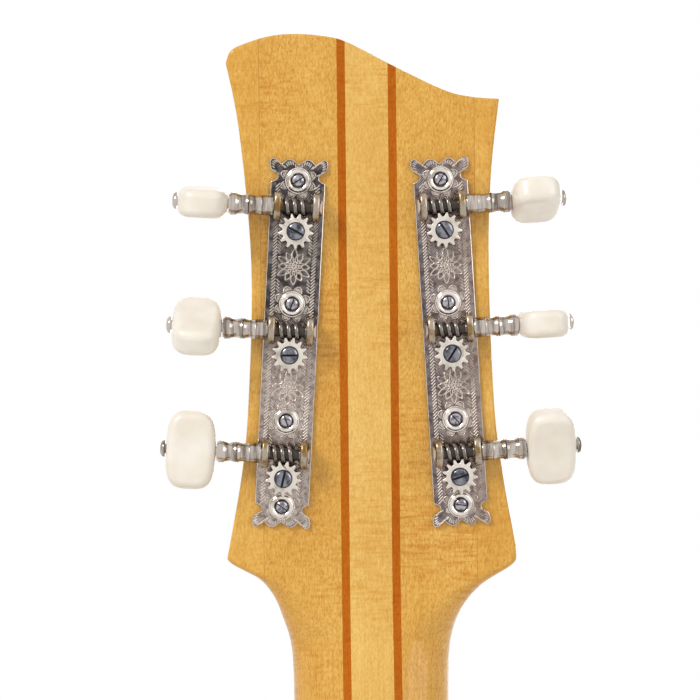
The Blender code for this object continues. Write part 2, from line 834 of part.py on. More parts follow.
def gear_mesh():
    """A toothed wheel whose teeth lean with the worm's thread; a gap lies along X at mid thickness."""
    step = 2 * math.pi / GEAR_TEETH
    root = TOOTH_ROOT_WIDTH / 2 / GEAR_ROOT_RADIUS
    tip = TOOTH_TIP_WIDTH / 2 / GEAR_OUTER_RADIUS
    tooth = (
        (GEAR_ROOT_RADIUS, -root),
        (GEAR_OUTER_RADIUS, -tip),
        (GEAR_OUTER_RADIUS, tip),
        (GEAR_ROOT_RADIUS, root),
    )
    outline = []
    for number in range(GEAR_TEETH):
        middle = (number + 0.5) * step
        for radius, angle in tooth:
            outline.append((radius * math.cos(middle + angle), radius * math.sin(middle + angle)))
    half = POST_SQUARE / 2 + FIT
    square = [(-half, -half), (half, -half), (half, half), (-half, half)]
    mesh = flat(outline, GEAR_THICKNESS, holes=(square,))
    gear_radius = GEAR_TEETH * WORM_PITCH / (2 * math.pi)
    lean = WORM_PITCH / (2 * math.pi * (WORM_TO_GEAR - gear_radius) * gear_radius)
    for vertex in mesh.vertices:
        if vertex.co.xy.length > GEAR_ROOT_RADIUS / 1.2:
            vertex.co = Matrix.Rotation(lean * (vertex.co.z - GEAR_THICKNESS / 2), 4, "Z") @ vertex.co
    return mesh


def worm_shaft_mesh():
    """The worm, its journals, the turned stem and the tang through the button, along +Z."""
    collar = STEM_START + STEM_LENGTH
    rivet = BUTTON_START + BUTTON_LENGTH + FIT
    stub = -EAR_OUTER - FIT
    profile = (
        (0, rivet + RIVET_HEIGHT),
        (RIVET_RADIUS * 0.7, rivet + RIVET_HEIGHT),
        (RIVET_RADIUS, rivet + RIVET_HEIGHT / 2),
        (RIVET_RADIUS, rivet),
        (TANG_RADIUS, rivet),
        (TANG_RADIUS, collar),
        (COLLAR_RADIUS, collar),
        (COLLAR_RADIUS, collar - COLLAR_LENGTH),
        (COLLAR_RADIUS * 0.8, collar - COLLAR_LENGTH * 1.6),
        (COLLAR_RADIUS * 0.96, collar - STEM_LENGTH * 0.42),
        (STEM_RADIUS * 0.9, collar - STEM_LENGTH * 0.55),
        (STEM_RADIUS, STEM_START + STEM_LENGTH * 0.3),
        (STEM_RADIUS, STEM_START),
        (JOURNAL_RADIUS, STEM_START),
        (JOURNAL_RADIUS, EAR_INNER - FIT),
        (WORM_CORE_RADIUS, EAR_INNER - FIT),
        (WORM_CORE_RADIUS, -EAR_INNER + FIT),
        (JOURNAL_RADIUS, -EAR_INNER + FIT),
        (JOURNAL_RADIUS, stub),
        (STUB_RADIUS, stub),
        (STUB_RADIUS, stub - STUB_LENGTH),
        (0, stub - STUB_LENGTH),
    )
    helix_radius = WORM_RADIUS - THREAD_RADIUS
    half_steps = round(THREAD_TURNS * STEPS_A_TURN / 2)
    points = []
    for step in range(-half_steps, half_steps + 1):
        angle = 2 * math.pi * step / STEPS_A_TURN
        along = WORM_PITCH * step / STEPS_A_TURN
        points.append((helix_radius * math.cos(angle), helix_radius * math.sin(angle), along))
    return joined(turned(profile, 10), tube(points, THREAD_RADIUS, resolution=0))


def button_mesh():
    """A rounded flat button along +Z from its collar, broad along X, with a bore for the tang."""
    outline = []
    steps = 20
    for step in range(steps):
        angle = 2 * math.pi * step / steps
        across = math.copysign(abs(math.cos(angle)) ** 0.6, math.cos(angle))
        along = math.copysign(abs(math.sin(angle)) ** 0.6, math.sin(angle))
        outline.append((across * BUTTON_BREADTH / 2, (along + 1) * BUTTON_LENGTH / 2))
    slab = flat(outline, BUTTON_THICKNESS, bevel=BUTTON_EDGE_ROUND)
    slab = moved(slab, shift(0, BUTTON_THICKNESS / 2, 0) @ STAND)
    return cut(slab, rod(TANG_RADIUS + FIT, 4 * BUTTON_LENGTH, 10))


def post_mesh():
    """A post along +Z, from its string end at the front of the head to its square end in the gear."""
    seat = GEAR_BOTTOM - FIT
    front = -HEAD_THICKNESS - VENEER_THICKNESS - POST_ABOVE_HEAD
    hole = -HEAD_THICKNESS - VENEER_THICKNESS - STRING_HOLE_HEIGHT
    waist = POST_WAIST_RADIUS
    profile = (
        (0, seat),
        (POST_RADIUS, seat),
        (POST_RADIUS, hole + 4 * STRING_HOLE_RADIUS),
        (waist, hole + STRING_HOLE_RADIUS),
        (waist, hole - STRING_HOLE_RADIUS),
        (POST_RADIUS, hole - 3 * STRING_HOLE_RADIUS),
        (POST_RADIUS, front + STRING_HOLE_RADIUS),
        (POST_RADIUS * 0.7, front),
        (0, front),
    )
    square_top = GEAR_BOTTOM + GEAR_THICKNESS - FIT
    half = POST_SQUARE / 2
    square = block((-half, -half, seat - OVERLAP), (half, half, square_top))
    screw_hole = moved(rod(GEAR_SCREW_SHANK + FIT, 2 * GEAR_SCREW_LENGTH, 8), shift(0, 0, square_top))
    string_hole = moved(rod(STRING_HOLE_RADIUS, 4 * POST_RADIUS, 8), shift(0, 0, hole) @ turn(90, "Y"))
    return cut(joined(turned(profile, 12), square), screw_hole, string_hole)


def gear_screw_mesh():
    """A slotted screw with its head resting on the gear."""
    seat = GEAR_BOTTOM + GEAR_THICKNESS + GLUE
    head = seat + GEAR_SCREW_HEAD
    profile = (
        (0, head),
        (GEAR_SCREW_RADIUS * 0.6, head - GEAR_SCREW_HEAD * 0.12),
        (GEAR_SCREW_RADIUS, head - GEAR_SCREW_HEAD * 0.5),
        (GEAR_SCREW_RADIUS, seat),
        (GEAR_SCREW_SHANK, seat),
        (GEAR_SCREW_SHANK, seat - GEAR_SCREW_LENGTH),
        (0, seat - GEAR_SCREW_LENGTH),
    )
    wide = 2 * GEAR_SCREW_RADIUS
    half = SLOT_WIDTH / 2
    slot = block((-wide, -half, head - SLOT_DEPTH), (wide, half, head + OVERLAP))
    return cut(turned(profile, 12), slot)


# How far each button is turned from lying flat, by string number, and each gear screw's slot
BUTTON_TURN = {3: 85, 2: 60, 1: 0, 4: 73, 5: 90, 6: 20}
SLOT_TURN = {3: -27, 2: 3, 1: 80, 4: -60, 5: 55, 6: 15}


def make_tuners():
    plate = plate_mesh()
    part("tuner_plate_treble", plate, "nickel", TREBLE_PLATE)
    part("tuner_plate_bass", plate, "nickel", BASS_PLATE)
    shaft = worm_shaft_mesh()
    button = button_mesh()
    gear = gear_mesh()
    screw = gear_screw_mesh()
    post = post_mesh()
    for number, side, plate_empty, along in tuner_places():
        tuner = frame(f"tuner_{number}_frame", plate_empty, shift(0, along, 0))
        # The shaft's thread has a crest on its local +X at mid length, which here faces the gear
        outwards = turn(90, "Y") @ turn(90, "Z") if side > 0 else turn(-90, "Y") @ turn(-90, "Z")
        facing = outwards if (outwards @ Vector((1, 0, 0))).y < 0 else outwards @ turn(180, "Z")
        worm = shift(0, WORM_TO_GEAR, WORM_HEIGHT)
        part(f"worm_shaft_{number}", shaft, "nickel", tuner, worm @ facing)
        broad = turn(90, "Z") @ turn(90, "X") if side > 0 else turn(90, "Z") @ turn(-90, "X")
        broad = worm @ broad @ turn(BUTTON_TURN[number], "Z") @ shift(0, 0, BUTTON_START)
        part(f"button_{number}", button, "ivoroid", tuner, broad)
        part(f"gear_{number}", gear, "gear_nickel", tuner, shift(0, 0, GEAR_BOTTOM) @ turn(90, "Z"))
        part(f"gear_screw_{number}", screw, "blued_steel", tuner, turn(SLOT_TURN[number], "Z"))
        part(f"string_post_{number}", post, "nickel", tuner, turn(90, "Z"))


# Body


def arched_plate():
    """A carved plate, its rim at y = 0 and its flat middle raised towards +Y."""
    outline = body_outline()
    # Distances in from the edge, each with its share of the arch's height
    levels = (
        (0, 0),
        (RIM_FLAT, 0),
        (RIM_FLAT + ARCH_RUN * 0.3, 0.22),
        (RIM_FLAT + ARCH_RUN * 0.68, 0.8),
        (RIM_FLAT + ARCH_RUN, 1),
    )
    shape = bmesh.new()
    rings = []
    for inset, rise in levels:
        y = PLATE_WOOD + rise * ARCH_HEIGHT
        rings.append([shape.verts.new((x, y, z)) for x, z in offset(outline, -inset)])
    count = len(outline)
    for outer, inner in zip(rings, rings[1:]):
        for i in range(count):
            j = (i + 1) % count
            shape.faces.new((outer[i], outer[j], inner[j], inner[i]))
    shape.faces.new(rings[-1])
    bmesh.ops.recalc_face_normals(shape, faces=shape.faces)
    if rings[-1][0].link_faces[0].normal.y < 0:
        bmesh.ops.reverse_faces(shape, faces=shape.faces)
    mesh = bpy.data.meshes.new("arch")
    shape.to_mesh(mesh)
    shape.free()
    obj = hidden("arch", mesh)
    shell = obj.modifiers.new("thickness", "SOLIDIFY")
    shell.thickness = PLATE_WOOD - GLUE
    shell.offset = -1
    shell.use_even_offset = True
    return baked(obj)


def ribbon(points, widths):
    """A flat outline along a chain of points, as wide as given at each."""
    left = []
    right = []
    for i, point in enumerate(points):
        before = Vector(points[max(i - 1, 0)])
        after = Vector(points[min(i + 1, len(points) - 1)])
        across = (after - before).normalized().orthogonal() * widths[i] / 2
        left.append(tuple(Vector(point) + across))
        right.append(tuple(Vector(point) - across))
    return [*left, *right[::-1]]


# The bass side f-hole, in millimetres from the body's frame: its two eyes and the line of its stem
UPPER_EYE = (64, -238)
LOWER_EYE = (104, -336)
STEM_LINE = (
    (64, -234),
    (68, -227),
    (76, -226),
    (82, -236),
    (84, -255),
    (84, -287),
    (84, -318),
    (87, -338),
    (93, -347),
    (101, -346),
    (104, -339),
)
STEM_SHARE = (0.3, 0.4, 0.6, 0.85, 1, 1, 1, 0.85, 0.6, 0.4, 0.3)


def f_hole_cutters(side):
    deep = 6 * PLATEAU
    place = shift(0, deep / 2, 0) @ STAND
    cutters = []
    for x, z in millimetres((UPPER_EYE, LOWER_EYE)):
        eye = rod(EYE_RADIUS, deep, 14)
        cutters.append(moved(eye, shift(side * x, 0, z) @ turn(90, "X")))
    line = [(side * x, z) for x, z in millimetres(STEM_LINE)]
    stem = flat(ribbon(line, [STEM_WIDTH * share for share in STEM_SHARE]), deep)
    cutters.append(moved(stem, place))
    return cutters


def make_body():
    plate = arched_plate()
    underside = ARCH_HEIGHT + GLUE
    bars = []
    for side in (-1, 1):
        middle = -(WAIST_AT + LOWER_BOUT_AT) / 2
        x = side * TONE_BAR_OFFSET
        bars.append(
            block(
                (x - TONE_BAR_WIDTH / 2, underside - TONE_BAR_HEIGHT, middle - TONE_BAR_LENGTH / 2),
                (x + TONE_BAR_WIDTH / 2, underside + OVERLAP, middle + TONE_BAR_LENGTH / 2),
            )
        )
    top = cut(joined(plate.copy(), *bars), *f_hole_cutters(-1), *f_hole_cutters(1))
    part("top_plate", top, "spruce", BODY)
    part("back_plate", plate, "maple", BODY, shift(0, -RIB_DEPTH, 0) @ turn(180, "Z"))

    inner = body_prism(-RIB_THICKNESS - FIT, -FIT, -RIB_DEPTH + FIT)
    half = BLOCK_WIDTH / 2
    slot = TENON_WIDTH / 2 + FIT
    blank = block((-half, -RIB_DEPTH, -NECK_BLOCK_LENGTH), (half, 0, 0))
    room = block((-slot, -2 * RIB_DEPTH, -TENON_LENGTH - FIT), (slot, RIB_DEPTH, OVERLAP))
    part("neck_block", cut(kept(blank, inner.copy()), room), "maple", BODY)
    blank = block((-half, -RIB_DEPTH, -BODY_LENGTH), (half, 0, -BODY_LENGTH + END_BLOCK_LENGTH))
    pin_hole = rod(END_PIN_RADIUS + FIT, 4 * END_BLOCK_LENGTH, 12)
    pin_hole = moved(pin_hole, shift(0, -RIB_DEPTH / 2, -BODY_LENGTH))
    part("end_block", cut(kept(blank, inner), pin_hole.copy()), "maple", BODY)

    for name, side in (("rib_treble", -1), ("rib_bass", 1)):
        part(name, rib_mesh(side, pin_hole), "maple", BODY)


def rib_mesh(side, pin_hole):
    """One rib: a thin strip of wood bent along half of the outline, behind the top plate's rim."""
    start = TENON_WIDTH / 2 + FIT
    beyond = [(x, z) for x, z in body_half()[1:-1] if x > start]
    first = (start, beyond[0][1] * start / beyond[0][0])
    line = [(side * x, z) for x, z in (first, *beyond, (0, -BODY_LENGTH))]
    shape = bmesh.new()
    front = [shape.verts.new((x, 0, z)) for x, z in line]
    back = [shape.verts.new((x, -RIB_DEPTH + GLUE, z)) for x, z in line]
    for i in range(len(line) - 1):
        shape.faces.new((front[i], front[i + 1], back[i + 1], back[i]))
    shape.normal_update()
    shape.faces.ensure_lookup_table()
    if shape.faces[len(line) // 2].normal.x * side < 0:
        bmesh.ops.reverse_faces(shape, faces=shape.faces)
    mesh = bpy.data.meshes.new("rib")
    shape.to_mesh(mesh)
    shape.free()
    obj = hidden("rib", mesh)
    shell = obj.modifiers.new("thickness", "SOLIDIFY")
    shell.thickness = RIB_THICKNESS
    shell.offset = -1
    shell.use_even_offset = True
    across = sorted((side * GLUE, -side * RIB_DEPTH))
    other_side = block((across[0], -2 * RIB_DEPTH, -2 * BODY_LENGTH), (across[1], RIB_DEPTH, -WAIST_AT))
    return cut(baked(obj), pin_hole.copy(), other_side)


# Bridge, strings and tailpiece


def in_body(point):
    return BODY.matrix_local.inverted() @ Vector(point)


SADDLE_CREST = in_body((0, SADDLE_STRING_HEIGHT, BRIDGE_Z))
TAIL_BAR_AT = -BODY_LENGTH + TAILPIECE_LENGTH


def make_bridge():
    z = SADDLE_CREST.z
    low = PLATEAU + FIT
    base_top = low + BRIDGE_BASE_HEIGHT
    saddle_bottom = base_top + WHEEL_GAP + WHEEL_THICKNESS + 2 * FIT
    half = BRIDGE_LENGTH / 2
    top_half = half - BRIDGE_END_RUN
    profile = (
        (-half, 0),
        (half, 0),
        (half, BRIDGE_END_HEIGHT),
        (top_half, BRIDGE_BASE_HEIGHT),
        (-top_half, BRIDGE_BASE_HEIGHT),
        (-half, BRIDGE_END_HEIGHT),
    )
    base = moved(flat(profile, BRIDGE_WIDTH), shift(0, low, z - BRIDGE_WIDTH / 2))
    arch_half = STUD_SPACING / 2 - WHEEL_RADIUS - OVERLAP
    arch_top = low + BRIDGE_ARCH_HEIGHT
    arch = block((-arch_half, low - OVERLAP, z - BRIDGE_WIDTH), (arch_half, arch_top, z + BRIDGE_WIDTH))
    sunk = 4 * OVERLAP
    reach = SADDLE_CREST.y - STUD_BELOW_CREST - base_top
    studs = []
    holes = []
    for side in (-1, 1):
        x = side * STUD_SPACING / 2
        stud = rod(STUD_RADIUS, reach + sunk)
        studs.append(moved(stud, shift(x, base_top + (reach - sunk) / 2, z) @ turn(90, "X")))
        hole = rod(STUD_RADIUS + FIT, 8 * BRIDGE_BASE_HEIGHT)
        holes.append(moved(hole, shift(x, saddle_bottom, z) @ turn(90, "X")))
    part("bridge_base", joined(cut(base, arch), *studs), "ebony", BODY)

    crest = SADDLE_CREST.y - FIT
    long = SADDLE_LENGTH / 2
    shoulder = STRING_SPREAD_BRIDGE / 2 + SADDLE_SHOULDER
    end_top = saddle_bottom + SADDLE_END_HEIGHT
    shape = (
        (-long, saddle_bottom),
        (long, saddle_bottom),
        (long, end_top),
        (shoulder, crest),
        (-shoulder, crest),
        (-long, end_top),
    )
    saddle = moved(flat(shape, SADDLE_WIDTH), shift(0, 0, z - SADDLE_WIDTH / 2))
    part("bridge_saddle", cut(saddle, *holes), "ebony", BODY)

    wheel_low = saddle_bottom - FIT - WHEEL_THICKNESS
    rim = []
    for step, (x, y) in enumerate(circle(1, WHEEL_NOTCHES)):
        radius = WHEEL_RADIUS - (WHEEL_NOTCH_DEPTH if step % 2 else 0)
        rim.append((radius * x, radius * y))
    wheel = flat(rim, WHEEL_THICKNESS, holes=(circle(STUD_RADIUS + FIT, 10),))
    for name, side in (("thumbwheel_treble", -1), ("thumbwheel_bass", 1)):
        place = shift(side * STUD_SPACING / 2, wheel_low + WHEEL_THICKNESS, z) @ STAND
        part(name, wheel, "nickel", BODY, place)


def make_tailpiece():
    """A tapered metal plate that carries the strings, bent over the rim to the end pin."""
    top = TAILPIECE_HEIGHT
    wide = TAILPIECE_WIDTH / 2
    tab = TAIL_TAB_WIDTH / 2
    hinge = -BODY_LENGTH - FIT - TAILPIECE_THICKNESS
    bend = TAILPIECE_THICKNESS / 2
    bass_side = (
        (tab, hinge + bend),
        (tab, -BODY_LENGTH + TAIL_TAB_LENGTH),
        (wide - TAIL_TAPER, TAIL_BAR_AT - TAIL_HEAD_LENGTH),
        (wide, TAIL_BAR_AT - TAIL_CORNER),
        (wide - TAIL_CORNER, TAIL_BAR_AT),
    )
    outline = [*bass_side, *((-x, z) for x, z in bass_side[::-1])]
    plate = moved(flat(outline, TAILPIECE_THICKNESS), shift(0, top, 0) @ STAND)
    low = -RIB_DEPTH / 2 - TAIL_TAB_BELOW_PIN
    drop = block((-tab + GLUE, low, hinge), (tab - GLUE, top - bend, hinge + TAILPIECE_THICKNESS))
    bar_half = wide - TAIL_CORNER
    bar_top = TAIL_BAR_AT - TAIL_BAR_INSET
    bar = block(
        (-bar_half, top - OVERLAP, bar_top - TAIL_BAR_LENGTH),
        (bar_half, top + TAIL_BAR_HEIGHT, bar_top),
    )
    pin_hole = moved(rod(END_PIN_RADIUS + FIT, 8 * TAILPIECE_THICKNESS), shift(0, -RIB_DEPTH / 2, hinge))
    part("tailpiece", cut(joined(plate, drop, bar), pin_hole), "nickel", BODY)

    head = hinge - FIT
    profile = (
        (0, -BODY_LENGTH + END_BLOCK_LENGTH),
        (END_PIN_RADIUS, -BODY_LENGTH + END_BLOCK_LENGTH),
        (END_PIN_RADIUS, head),
        (END_PIN_RADIUS * 1.9, head),
        (END_PIN_RADIUS * 1.2, head - END_PIN_HEAD / 3),
        (END_PIN_RADIUS * 2.1, head - END_PIN_HEAD * 0.8),
        (END_PIN_RADIUS * 1.4, head - END_PIN_HEAD),
        (0, head - END_PIN_HEAD),
    )
    part("end_pin", moved(turned(profile, 14), shift(0, -RIB_DEPTH / 2, 0)), "ivoroid", BODY)


def make_strings():
    """Each string from the tailpiece's bar over the saddle and the nut to its post."""
    bar_front = TAILPIECE_HEIGHT + TAIL_BAR_HEIGHT
    bar_middle = TAIL_BAR_AT - TAIL_BAR_INSET - TAIL_BAR_LENGTH / 2
    hole_depth = -HEAD_THICKNESS - VENEER_THICKNESS - STRING_HOLE_HEIGHT
    for number, side, plate, along in tuner_places():
        radius = STRING_RADII[number - 1]
        post = HEAD.matrix_local @ plate.matrix_local @ shift(0, along, 0)
        beside = post @ Vector((-side * (POST_RADIUS + radius + FIT), 0, hole_depth))
        x = string_x(number, STRING_SPREAD_BRIDGE)
        anchor = BODY.matrix_local @ Vector((x, bar_front + radius + FIT, bar_middle))
        saddle = []
        for edge in (-SADDLE_WIDTH / 2, SADDLE_WIDTH / 2):
            saddle.append(BODY.matrix_local @ Vector((x, SADDLE_CREST.y + radius, SADDLE_CREST.z + edge)))
        nut = []
        for edge in (BOARD_TOP_Z, NUT_Z):
            nut.append(Vector((string_x(number, STRING_SPREAD_NUT), NUT_STRING_HEIGHT + radius, edge)))
        colour = "steel" if number < 3 else "bronze"
        part(f"string_{number}", tube([anchor, *saddle, *nut, beside], radius), colour, NECK)


def make_pickguard():
    """A plate beside the strings on the treble side, on a bracket from the rib."""
    edge = board_half_width(BOARD_LENGTH) + FIT
    near = -edge - FIT
    width = PICKGUARD_WIDTH
    high = JOIN_Z - PICKGUARD_BELOW_JOIN
    low = BRIDGE_Z + PICKGUARD_ABOVE_BRIDGE
    length = high - low
    outline = (
        (near, high),
        (near, low + length * 0.2),
        (near - width * 0.1, low),
        (near - width * 0.8, low + length * 0.02),
        (near - width, low + length * 0.16),
        (near - width * 0.8, high - length * 0.13),
        (near - width * 0.43, high - length * 0.02),
    )
    place = shift(0, BOARD_THICKNESS, 0) @ STAND
    guard = moved(flat(outline, PICKGUARD_THICKNESS), place)
    part("pickguard", guard, "tortoise", NECK)

    waist_z = (BODY.matrix_local @ Vector((0, 0, -WAIST_AT))).z
    under = in_body((0, BOARD_THICKNESS - PICKGUARD_THICKNESS - 2 * FIT, waist_z)).y
    rib = -WAIST / 2 - 4 * FIT
    outer = rib - BRACKET_THICKNESS
    bottom = -WAIST_AT - BRACKET_WIDTH / 2
    top = -WAIST_AT + BRACKET_WIDTH / 2
    arm = block((outer, under - BRACKET_THICKNESS, bottom), (near - BRACKET_INSET, under, top))
    foot = block(
        (outer, -RIB_DEPTH * 0.6, bottom + GLUE),
        (rib, under - BRACKET_THICKNESS / 2, top - GLUE),
    )
    part("pickguard_bracket", joined(arm, foot), "nickel", BODY)


make_neck()
make_veneer()
make_nut()
make_fingerboard()
make_tuners()
make_body()
make_bridge()
make_tailpiece()
make_strings()
make_pickguard()
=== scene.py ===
"""The finished guitar: its lacquered woods, engraved tuner plates and strings over the plain solids,
seen from behind its head on a white ground."""

import json
import math

import bpy
from mathutils import Matrix, Vector
from mathutils.geometry import interpolate_bezier

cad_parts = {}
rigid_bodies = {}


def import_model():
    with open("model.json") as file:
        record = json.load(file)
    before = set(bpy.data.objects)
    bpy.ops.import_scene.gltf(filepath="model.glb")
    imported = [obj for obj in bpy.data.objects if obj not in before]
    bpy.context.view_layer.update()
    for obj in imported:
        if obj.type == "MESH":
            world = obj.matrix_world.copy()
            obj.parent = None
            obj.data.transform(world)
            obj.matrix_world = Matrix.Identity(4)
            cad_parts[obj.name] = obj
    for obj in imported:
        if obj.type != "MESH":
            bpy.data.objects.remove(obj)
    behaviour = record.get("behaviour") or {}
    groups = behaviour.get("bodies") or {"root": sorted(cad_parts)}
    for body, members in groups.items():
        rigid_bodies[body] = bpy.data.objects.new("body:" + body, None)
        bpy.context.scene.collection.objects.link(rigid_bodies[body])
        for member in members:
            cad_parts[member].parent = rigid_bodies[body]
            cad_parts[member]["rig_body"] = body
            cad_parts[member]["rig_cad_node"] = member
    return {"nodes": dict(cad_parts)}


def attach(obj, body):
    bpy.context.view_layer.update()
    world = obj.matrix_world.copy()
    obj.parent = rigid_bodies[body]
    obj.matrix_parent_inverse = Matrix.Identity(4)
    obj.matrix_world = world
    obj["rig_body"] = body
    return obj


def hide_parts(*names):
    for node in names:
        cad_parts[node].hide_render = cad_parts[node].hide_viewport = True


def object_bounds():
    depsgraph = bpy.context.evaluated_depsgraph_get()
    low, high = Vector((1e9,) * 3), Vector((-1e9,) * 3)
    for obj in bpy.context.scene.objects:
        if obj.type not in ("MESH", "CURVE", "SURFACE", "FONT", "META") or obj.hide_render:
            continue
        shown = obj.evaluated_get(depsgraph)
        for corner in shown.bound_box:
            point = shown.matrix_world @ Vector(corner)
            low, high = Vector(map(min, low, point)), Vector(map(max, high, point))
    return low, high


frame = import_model()
cad_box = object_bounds()

MM = 0.001
FIT = 0.3 * MM
GLUE = 0.1 * MM
TOLERANCE = 0.01 * MM

# Neck and head
SCALE_LENGTH = 640.0 * MM
FRETS = 20
BODY_FRET = 14
NUT_BELOW_YOKE = 15.0 * MM
NUT_WIDTH = 44.5 * MM
NUT_THICKNESS = 4.6 * MM
NECK_DEPTH = 15.5 * MM
NECK_DEPTH_GROWTH = 2.5 * MM
BOARD_THICKNESS = 6.0 * MM
BOARD_END_WIDTH = 55.5 * MM
BOARD_OVERHANG = 5.0 * MM
FRET_WIDTH = 2.2 * MM
FRET_HEIGHT = 1.0 * MM
CENTRE_STRIP_WIDTH = 12.1 * MM
DARK_STRIP_WIDTH = 2.35 * MM
BLANK_WIDTH = 60.8 * MM
GLUE_LINE = 0.2 * MM
HEAD_ANGLE = math.radians(12.5)
HEAD_THICKNESS = 13.0 * MM
VENEER_THICKNESS = 2.0 * MM
HEAD_EDGE_ROUND = 1.3 * MM
VENEER_EDGE_ROUND = 0.4 * MM

# Tuners
TUNER_SPACING = 35.0 * MM
TREBLE_GEAR = (-20.5 * MM, 117.4 * MM)
BASS_GEAR = (21.5 * MM, 117.4 * MM)
TREBLE_SPLAY = math.radians(3.5)
BASS_SPLAY = math.radians(3.1)
PLATE_WIDTH = 15.4 * MM
PLATE_THICKNESS = 1.0 * MM
PLATE_ABOVE_GEAR = 13.8 * MM
PLATE_BELOW_GEAR = 7.6 * MM
PLATE_BEVEL = 0.45 * MM
CROWN_HEIGHT = 6.7 * MM
BOSS_RADIUS = 3.55 * MM
BOSS_HEIGHT = 0.8 * MM
PLATE_SCREW_RADIUS = 1.7 * MM
WORM_PITCH = 2.2 * MM
WORM_TO_GEAR = 6.9 * MM
WORM_CORE_RADIUS = 1.7 * MM
THREAD_RADIUS = 0.5 * MM
RIDGE_RADIUS = 0.72 * MM
THREAD_TURNS = 3.25
WORM_CLEARANCE = 0.25 * MM
GEAR_THICKNESS = 2.4 * MM
EAR_THICKNESS = 2.0 * MM
EAR_WIDTH = 8.1 * MM
EAR_SPACING = 10.9 * MM
EAR_TOP = 2.7 * MM
JOURNAL_RADIUS = 1.5 * MM
STUB_RADIUS = 2.45 * MM
STUB_LENGTH = 0.6 * MM
STEM_LENGTH = 12.4 * MM
STEM_RADIUS = 2.85 * MM
COLLAR_RADIUS = 3.15 * MM
COLLAR_LENGTH = 2.0 * MM
TANG_RADIUS = 1.4 * MM
RIVET_RADIUS = 2.35 * MM
RIVET_HEIGHT = 1.4 * MM
BUTTON_LENGTH = 14.0 * MM
BUTTON_BREADTH = 22.0 * MM
BUTTON_THICKNESS = 7.9 * MM
BUTTON_EDGE_ROUND = 2.4 * MM
BUTTON_SQUARENESS = 0.6
POST_RADIUS = 3.1 * MM
POST_ABOVE_HEAD = 16.0 * MM
POST_WAIST_RADIUS = 2.6 * MM
STRING_HOLE_RADIUS = 0.9 * MM
STRING_HOLE_HEIGHT = 11.0 * MM
GEAR_SCREW_RADIUS = 2.35 * MM
GEAR_SCREW_HEAD = 1.3 * MM
SLOT_WIDTH = 0.65 * MM
SLOT_DEPTH = 0.6 * MM

# Body
BODY_TILT = math.radians(3.5)
BODY_BELOW_BOARD = 10.5 * MM
BODY_LENGTH = 490.0 * MM
UPPER_BOUT = 300.0 * MM
WAIST = 250.0 * MM
LOWER_BOUT = 420.0 * MM
UPPER_BOUT_AT = 105.0 * MM
WAIST_AT = 205.0 * MM
LOWER_BOUT_AT = 352.0 * MM
RIB_DEPTH = 80.0 * MM
RIB_THICKNESS = 3.0 * MM
PLATE_WOOD = 4.5 * MM
ARCH_HEIGHT = 7.0 * MM
RIM_FLAT = 12.0 * MM
ARCH_RUN = 26.0 * MM
BINDING_WIDTH = 1.8 * MM
EYE_RADIUS = 7.5 * MM
STEM_WIDTH = 8.0 * MM
STRING_RADII = (0.15 * MM, 0.2 * MM, 0.28 * MM, 0.38 * MM, 0.52 * MM, 0.66 * MM)
END_PIN_RADIUS = 3.5 * MM
TAILPIECE_THICKNESS = 3.0 * MM
END_BLOCK_LENGTH = 22.0 * MM

# Where the main pieces meet, worked out from the sizes above
NUT_Z = -NUT_BELOW_YOKE
BOARD_TOP_Z = NUT_Z - NUT_THICKNESS - 2 * FIT
PLATE_LENGTH = PLATE_ABOVE_GEAR + 2 * TUNER_SPACING + PLATE_BELOW_GEAR
# The thread is sunk a tenth of a millimetre into its core
WORM_RADIUS = WORM_CORE_RADIUS + 2 * THREAD_RADIUS - 0.1 * MM
WORM_HEIGHT = PLATE_THICKNESS + WORM_RADIUS + WORM_CLEARANCE
GEAR_BOTTOM = WORM_HEIGHT - GEAR_THICKNESS / 2
EAR_OUTER = EAR_SPACING / 2 + EAR_THICKNESS / 2
EAR_INNER = EAR_SPACING / 2 - EAR_THICKNESS / 2
STEM_START = EAR_OUTER + FIT
BUTTON_START = STEM_START + STEM_LENGTH + FIT
# In a tuner's own frame: the front of the head, and the hole through the post in front of it
FRONT_FACE = -HEAD_THICKNESS - VENEER_THICKNESS
STRING_HOLE = FRONT_FACE - STRING_HOLE_HEIGHT

# How far each button is turned from lying flat, by string number, and each gear screw's slot
BUTTON_TURN = {3: 85, 2: 60, 1: 0, 4: 73, 5: 90, 6: 20}
SLOT_TURN = {3: -27, 2: 3, 1: 80, 4: -60, 5: 55, 6: 15}


def fret_distance(number):
    """Distance of a fret from the nut's edge, by the twelfth root of two."""
    return SCALE_LENGTH * (1 - 2 ** (-number / 12))


JOIN_Z = BOARD_TOP_Z - fret_distance(BODY_FRET)
BOARD_LENGTH = fret_distance(FRETS) + BOARD_OVERHANG


def turn(degrees, axis):
    return Matrix.Rotation(math.radians(degrees), 4, axis)


def shift(x, y, z):
    return Matrix.Translation((x, y, z))


# A flat outline lies in X and Y: these turn it to stand in X and Z, or in Y and Z
STAND = turn(90, "X")
EDGEWAYS = turn(90, "Z") @ STAND
HEAD = shift(0, 0, NUT_Z) @ Matrix.Rotation(HEAD_ANGLE, 4, "X")
BODY = shift(0, -BODY_BELOW_BOARD, JOIN_Z) @ Matrix.Rotation(-BODY_TILT, 4, "X")


def plate_frame(gear, splay):
    """A frame on the back of the head: X across, Y up along the plate, Z out of the back."""
    x, z = gear
    return HEAD @ shift(x, -HEAD_THICKNESS - GLUE, z) @ STAND @ Matrix.Rotation(splay, 4, "Z")


PLATES = {
    "treble": plate_frame(TREBLE_GEAR, -TREBLE_SPLAY),
    "bass": plate_frame(BASS_GEAR, BASS_SPLAY),
}


